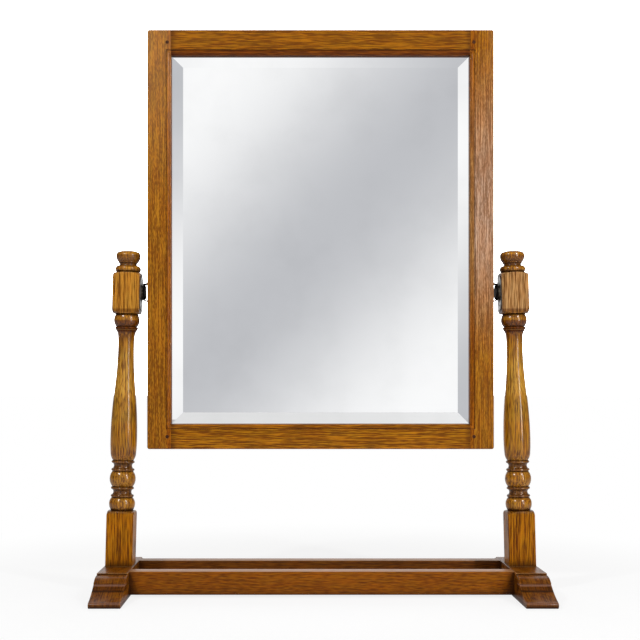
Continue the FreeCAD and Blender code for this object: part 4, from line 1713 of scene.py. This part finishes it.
@dataclass(frozen=True)
class Studio:
    """Pale floor, white surroundings and soft lamps.

    Angles are in degrees: the azimuth is 0 in front of the object and 180 behind it.

    Attributes:
        fill: Strength of the surroundings' light on the object.
        back_fill: Strength of the broad low light behind it.
        lamps: The lamps.
        floor_radius: Radius of the floor in metres.
        floor_front: How far the floor reaches in front of the object.
        grey: Colour of the dim bands that the glass shows.
        band_pitch: Angle from one dim band to the next.
        band_start: Azimuth of the lightest place between them, level with the object.
        band_slant: Lowest and highest elevation between which the bands slant.
        band_edge: Angles from the front over which they fade to white.
        back_sides: Azimuths over which the low light behind sets in.
        back_foot: Elevations over which it sets in.
        back_head: Elevations over which it ends.
        rear: Azimuths over which the dimness in the polish ends behind the object.
        beside_edge: Azimuths over which the dimness beside the object sets in.
        beyond_edge: Azimuths over which the dimness in front sets in.
        beyond_head: Elevations over which it sets in overhead.
        beside: Strength of the surroundings beside the object as its polish shows them.
        beyond: Their strength in front, outside what the glass shows the camera.
        floor_glow: Share of the floor's own light near the object, as the camera sees it.
        floor_fade: Distances in metres over which that share grows to the whole.
    """

    fill: float = 0.14
    back_fill: float = 4.0
    lamps: tuple[Lamp, ...] = (
        Lamp("softbox_left", (-0.80, -0.85, 1.20), (0.09, 0.11), 11.0),
        Lamp("softbox_right", (0.90, -1.00, 1.15), (0.09, 0.11), 5.0),
        Lamp("strip_right", (0.95, -1.05, 0.80), (0.10, 1.40), 13.0),
    )
    floor_radius: float = 30.0
    floor_front: float = 8.0
    grey: Triple = (0.545, 0.553, 0.578)
    band_pitch: float = 28.0
    band_start: float = 8.0
    band_slant: Pair = (-2.0, 17.0)
    band_edge: Pair = (45.0, 60.0)
    back_sides: Pair = (142.0, 155.0)
    back_foot: Pair = (-8.0, 0.0)
    back_head: Pair = (42.0, 30.0)
    rear: Pair = (168.0, 152.0)
    beside_edge: Pair = (70.0, 95.0)
    beyond_edge: Pair = (24.0, 44.0)
    beyond_head: Pair = (34.0, 54.0)
    beside: float = 0.12
    beyond: float = 0.2
    floor_glow: float = 0.83
    floor_fade: Pair = (0.30, 0.75)

    def build(self) -> None:
        """Set up the view, the surroundings, the lamps and the floor."""
        bpy.context.scene.view_settings.view_transform = "Standard"
        self.build_world()
        for lamp in self.lamps:
            lamp.build()
        self.build_floor()

    def build_world(self) -> None:
        """Surround the object with white, and with soft dim bands in front for the glass."""
        world = bpy.data.worlds.new("studio")
        bpy.context.scene.world = world
        world.use_nodes = True
        nodes = Nodes(world.node_tree)
        path = nodes.node("ShaderNodeLightPath").outputs
        across, depth, up = nodes.parts(nodes.node("ShaderNodeTexCoord").outputs["Generated"])
        ahead = nodes.maths("MULTIPLY", depth, -1.0)
        azimuth = nodes.maths("DEGREES", nodes.maths("ARCTAN2", across, ahead))
        level = nodes.diagonal(across, depth)
        elevation = nodes.maths("DEGREES", nodes.maths("ARCTAN2", up, level))
        seen = nodes.maths("MAXIMUM", path["Is Camera Ray"], path["Is Transmission Ray"])
        lightness = nodes.maths("MAXIMUM", self.bands(nodes, azimuth, elevation), seen)
        strength = self.strength(nodes, azimuth, elevation, path["Is Glossy Ray"])
        background = nodes.node("ShaderNodeBackground")
        nodes.feed(background, {
            "Color": nodes.blend(lightness, self.grey, (1.0, 1.0, 1.0)),
            "Strength": nodes.maths("MAXIMUM", strength, seen),
        })
        output = nodes.node("ShaderNodeOutputWorld")
        nodes.feed(output, {"Surface": background.outputs[0]})

    def bands(self, nodes: Nodes, azimuth: NodeSocket, elevation: NodeSocket) -> NodeSocket:
        """Slanting dim bands in front of the object, with full white round them.

        Args:
            nodes: Tree to add to.
            azimuth: Direction round the object.
            elevation: Direction above the level.

        Returns:
            Lightness from 0 to 1.
        """
        lowest, highest = self.band_slant
        held = nodes.maths("MAXIMUM", nodes.maths("MINIMUM", elevation, highest), lowest)
        slant = nodes.maths("SUBTRACT", azimuth, held)
        offset = nodes.maths("SUBTRACT", slant, self.band_start)
        turn = nodes.maths("RADIANS", nodes.maths("MULTIPLY", offset, 360 / self.band_pitch))
        waves = nodes.maths("MULTIPLY_ADD", nodes.maths("COSINE", turn), 0.5, 0.5)
        outside = nodes.band(nodes.maths("ABSOLUTE", slant), *self.band_edge)
        return nodes.maths("MAXIMUM", waves, outside)

    def strength(
        self, nodes: Nodes, azimuth: NodeSocket, elevation: NodeSocket, glossy: NodeSocket
    ) -> NodeSocket:
        """Strength of the surroundings as matt surfaces and as polished ones receive it.

        Args:
            nodes: Tree to add to.
            azimuth: Direction round the object.
            elevation: Direction above the level.
            glossy: Whether a polished surface is being lit.

        Returns:
            The strength.
        """
        turned = nodes.maths("ABSOLUTE", azimuth)
        low = nodes.maths(
            "MULTIPLY", nodes.band(elevation, *self.back_foot),
            nodes.band(elevation, *self.back_head))
        behind = nodes.maths("MULTIPLY", nodes.band(turned, *self.back_sides), low)
        fill = nodes.maths("MULTIPLY_ADD", behind, self.back_fill, self.fill)
        matt = nodes.maths("MULTIPLY", nodes.inverse(glossy), fill)
        front = nodes.band(turned, *self.rear)
        beside = nodes.maths("MULTIPLY", nodes.band(turned, *self.beside_edge), front)
        beyond = nodes.maths("MULTIPLY", nodes.band(turned, *self.beyond_edge), front)
        beyond = nodes.maths("MAXIMUM", beyond, nodes.band(elevation, *self.beyond_head))
        dark = nodes.maths(
            "MAXIMUM", nodes.maths("MULTIPLY", beside, 1 - self.beside),
            nodes.maths("MULTIPLY", beyond, 1 - self.beyond))
        return nodes.maths("MULTIPLY_ADD", glossy, nodes.inverse(dark), matt)

    def build_floor(self) -> None:
        """Lay a pale floor that melts into the white surroundings."""
        bm = bmesh.new()
        bmesh.ops.create_circle(bm, cap_ends=True, segments=96, radius=self.floor_radius)
        bmesh.ops.translate(bm, vec=(0, self.floor_radius - self.floor_front, 0), verts=bm.verts)
        mesh = bpy.data.meshes.new("floor")
        bm.to_mesh(mesh)
        bm.free()
        mesh.materials.append(self.floor_finish())
        floor = bpy.data.objects.new("floor", mesh)
        bpy.context.scene.collection.objects.link(floor)

    def floor_finish(self) -> Material:
        """Matt white that glows for the camera, and wholly so far from the object.

        Returns:
            The material.
        """
        recipe = Recipe("floor")
        distance = recipe.node("ShaderNodeVectorMath", operation="LENGTH")
        recipe.feed(distance, {0: recipe.object_place()})
        far = recipe.band(distance.outputs["Value"], *self.floor_fade)
        glowing = recipe.maths("MULTIPLY_ADD", far, 1 - self.floor_glow, self.floor_glow)
        path = recipe.node("ShaderNodeLightPath").outputs
        mirrored = recipe.maths("MULTIPLY", path["Is Glossy Ray"], 0.5)
        seen = recipe.maths("MAXIMUM", path["Is Camera Ray"], mirrored)
        glow = recipe.node("ShaderNodeEmission")
        recipe.feed(
            glow, {"Strength": recipe.maths("MULTIPLY_ADD", path["Is Glossy Ray"], -0.3, 1.0)})
        recipe.feed(
            recipe.shader,
            {"Base Color": (0.8, 0.8, 0.8), "Roughness": 1.0, "Specular IOR Level": 0.0})
        mixed = recipe.node("ShaderNodeMixShader")
        recipe.feed(mixed, {
            0: recipe.maths("MULTIPLY", glowing, seen),
            1: recipe.shader.outputs["BSDF"],
            2: glow.outputs[0],
        })
        recipe.feed(recipe.output, {"Surface": mixed.outputs[0]})
        return recipe.material


# ------------------------------------------------------------------ assembly
class SwingMirror:
    """The whole object: its pieces, their finishes and the CAD nodes that they stand for."""

    def __init__(self) -> None:
        """Take the standard sizes."""
        self.post = TurnedPost()
        self.base = SledgeBase(self.post.foot_centre)
        self.frame = MirrorFrame()
        self.plate = BevelledPlate()

    def build(self) -> None:
        """Build every piece."""
        self.build_base()
        self.build_posts()
        self.build_frame()
        self.build_glass()
        self.dress_fittings()

    def build_base(self) -> None:
        """Build the feet and stretchers, which are darker than the rest."""
        tone = replace(
            BASE_OAK, light=(0.20, 0.062, 0.003), deep=(0.065, 0.017, 0.001), reach=16.0)
        # Pale colour of the painted highlights on the feet's mouldings.
        pale = (0.22, 0.12, 0.09)
        ends = self.base.flat / 2 + 9
        # Bands across the moulded ends of the feet, painted light and shade:
        moulding = (
            # painted shade below the thumb moulding
            Zone(Axis.UPRIGHT, (13.5, 15.5, 19.2, 20.4), 0.8, (0.5, 0.45, 0.6), ends=ends),
            # a darker line of painted shade in the hollow
            Zone.around(Axis.UPRIGHT, 15.6, 0.8, 0.4, (0.35, 0.32, 0.4), 0.9, ends=ends),
            # painted highlight on the step below the thumb
            Zone.around(Axis.UPRIGHT, 20.8, 1.1, 0.5, pale, 0.55, False, ends),
            # painted highlight on the toe
            Zone.around(Axis.UPRIGHT, 6.0, 1.6, 0.8, pale, 0.40, False, ends),
            # painted highlight along the top of the thumb
            Zone.around(Axis.UPRIGHT, 28.0, 0.95, 0.65, pale, 0.30, False, ends),
        )
        for side in Side:
            # Feet: wear pales the arrises, with a painted highlight.
            oak = replace(
                tone, grain=Axis.DEPTH, heart=(side.value * 220, -200), seed=side.value,
                wear=0.8, fleck=0.3, streak=0.2, rays=1.1, ring=3.0, sway=1.0, coat=0.1,
                zones=moulding)
            add_oak(self.base.foot_mesh(side), f"foot_{side.word}", oak, "stand")
        top = self.base.height
        # Paler top of the stretchers: dust, and a painted sheen of the bright surroundings.
        top_dust_and_sheen = Zone.outwards(
            Axis.UPRIGHT, top - 0.7, top - 0.1, (0.42, 0.22, 0.10), 0.45, False)
        for side, place in ((Side.LEFT, "front"), (Side.RIGHT, "rear")):
            oak = replace(
                tone, grain=Axis.ACROSS, heart=(side.value * 100, -50), seed=side.value * 2,
                light=(0.28, 0.082, 0.002), deep=(0.11, 0.028, 0.001), sway=6.0,
                fibre=90.0, fleck=0.8, coat=0.04,
                zones=(Zone.joints(self.base.inner_face), top_dust_and_sheen))
            # The rear stretcher is a darker copy: painted shadow, where the front stretcher shades
            # it.
            if side is Side.RIGHT:
                oak = replace(oak, light=(0.16, 0.05, 0.006), deep=(0.07, 0.02, 0.003))
            add_oak(self.base.stretcher_mesh(side), f"stretcher_{place}", oak, "stand")

    def build_posts(self) -> None:
        """Build the turned posts."""
        middle = self.post.pivot_height
        for side in Side:
            tint = (1.02, 1.06, 2.2) if side is Side.LEFT else (1.04, 1.30, 8.0)
            square = Zone.stain(middle - 23, middle + 25, tint, 3)
            # Posts: wear pales the arrises, with a painted highlight.
            oak = replace(
                BASE_OAK, heart=(side.value * 400, 20), seed=side.value * 3,
                ring=3.2 if side is Side.LEFT else 2.7, figure=0.65, sway=5.0,
                light=(0.46, 0.192, 0.011), deep=(0.11, 0.032, 0.001), reach=14.0,
                spring_share=0.42, fleck=0.6, fibre=70.0, streak=0.8, wear=0.35, coat=0.6,
                shelter=(0.5, 0.98), zones=(*self.post.stains_and_shading(), square),
                dulled=self.post.flats())
            add_oak(self.post.mesh(side), f"post_{side.word}", oak, "stand", 28.0)

    def build_frame(self) -> None:
        """Build the stiles, rails and pegs."""
        plain = replace(BASE_OAK, patches=0.5, open_pores=0.1, coat=0.06)
        self.build_stiles(plain)
        self.build_rails(plain)
        pegs = replace(
            BASE_OAK, grain=Axis.DEPTH, light=(0.06, 0.020, 0.007), deep=(0.025, 0.008, 0.003))
        finish_piece(
            self.frame.pegs_mesh(), "frame_pegs", pegs.make("oak_pegs"), "mirror")

    def build_stiles(self, plain: OakFinish) -> None:
        """Build the stiles.

        Args:
            plain: Oak of the frame, before it takes each piece's own pattern.
        """
        # Painted shade that darkens and reddens the sight moulding.
        moulding = Zone.around(
            Axis.ACROSS, 0.0, self.frame.sight_side + 5, 1.0, (0.92, 0.74, 0.35))
        for side in Side:
            if side is Side.LEFT:
                veil = Zone(
                    Axis.UPRIGHT, (450, 660, 800, 900), 0.12, (0.46, 0.30, 0.16), stained=False)
            else:
                # Right stile: painted sheen, a pale reflection, across its middle.
                veil = Zone(Axis.UPRIGHT, (280, 460, 480, 680), 1.0, (1.25, 1.95, 23.0))
            oak = replace(
                plain, heart=(side.value * 320, 30), seed=side.value * 4, lean=0.008,
                figure=0.35, fleck=0.8 if side is Side.LEFT else 0.55, fibre=210.0, streak=1.0,
                ripeness=0.35, ring=2.0, sway=2.0, light=(0.385, 0.148, 0.008),
                deep=(0.155, 0.048, 0.002), zones=(moulding, veil))
            add_oak(self.frame.stile_mesh(side), f"stile_{side.word}", oak, "mirror")

    def build_rails(self, plain: OakFinish) -> None:
        """Build the rails.

        Args:
            plain: Oak of the frame, before it takes each piece's own pattern.
        """
        tall = self.frame.sight_half_height
        middle = self.frame.middle
        quirk_places = (tall + 4.2, tall + 5, tall + 5.8, tall + 6.6)
        # Painted shade in the quirk beside the sight moulding.
        quirk = Zone(Axis.UPRIGHT, quirk_places, 0.6, (0.45, 0.40, 0.40), middle)
        for at_top, name in ((True, "rail_top"), (False, "rail_bottom")):
            # Painted shade on the sight moulding: strong on the top rail, whose moulding faces
            # down, weak on the bottom one.
            moulding = Zone.around(
                Axis.UPRIGHT, middle, tall + 6, 1.0, (0.62, 0.42, 0.40), 0.9 if at_top else 0.3)
            oak = replace(
                plain, grain=Axis.ACROSS, heart=(20, 620 if at_top else 100),
                seed=5.0 + at_top, figure=0.5 if at_top else 0.65, fibre=70.0, ring=2.1,
                fleck=1.0, streak=1.3, sway=1.5, ripeness=0.32,
                light=(0.305, 0.108, 0.003) if at_top else (0.42, 0.157, 0.004),
                deep=(0.120, 0.035, 0.001) if at_top else (0.142, 0.043, 0.001),
                zones=(Zone.joints(self.frame.sight_side), moulding, quirk))
            add_oak(self.frame.rail_mesh(at_top), name, oak, "mirror")

    def build_glass(self) -> None:
        """Build the bevelled plate."""
        silvered = MirrorFinish().make("silvered_glass")
        finish_piece(self.plate.mesh(), "mirror_glass", silvered, "mirror", 2.0)

    def dress_fittings(self) -> None:
        """Give the CAD solids that are shown as they are their finishes."""
        pine = PineFinish().make("pine")
        steel = STEEL.make("steel")
        dark = DARK_STEEL.make("dark_steel")
        black = BLACK_IRON.make("black_iron")
        finishes = {
            "backboard": pine, "glazing_blocks": pine, "backboard_screws": BRASS.make("brass"),
            "plate_screws": steel, "bracket_screws": steel,
        }
        for side in Side:
            finishes[f"pivot_plate_{side.word}"] = steel
            finishes[f"pivot_bracket_{side.word}"] = black
            finishes[f"pivot_cup_{side.word}"] = dark
            finishes[f"pivot_stud_{side.word}"] = black
        for name, material in finishes.items():
            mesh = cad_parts[name].data
            mesh.materials.clear()
            mesh.materials.append(material)
            log.info("%s: %s", name, material.name)


def main() -> None:
    """Build the studio and the swing mirror."""
    logging.basicConfig(level=logging.INFO, format="%(message)s")
    StudioCamera().build()
    Studio().build()
    SwingMirror().build()


if __name__ == "__main__":
    main()
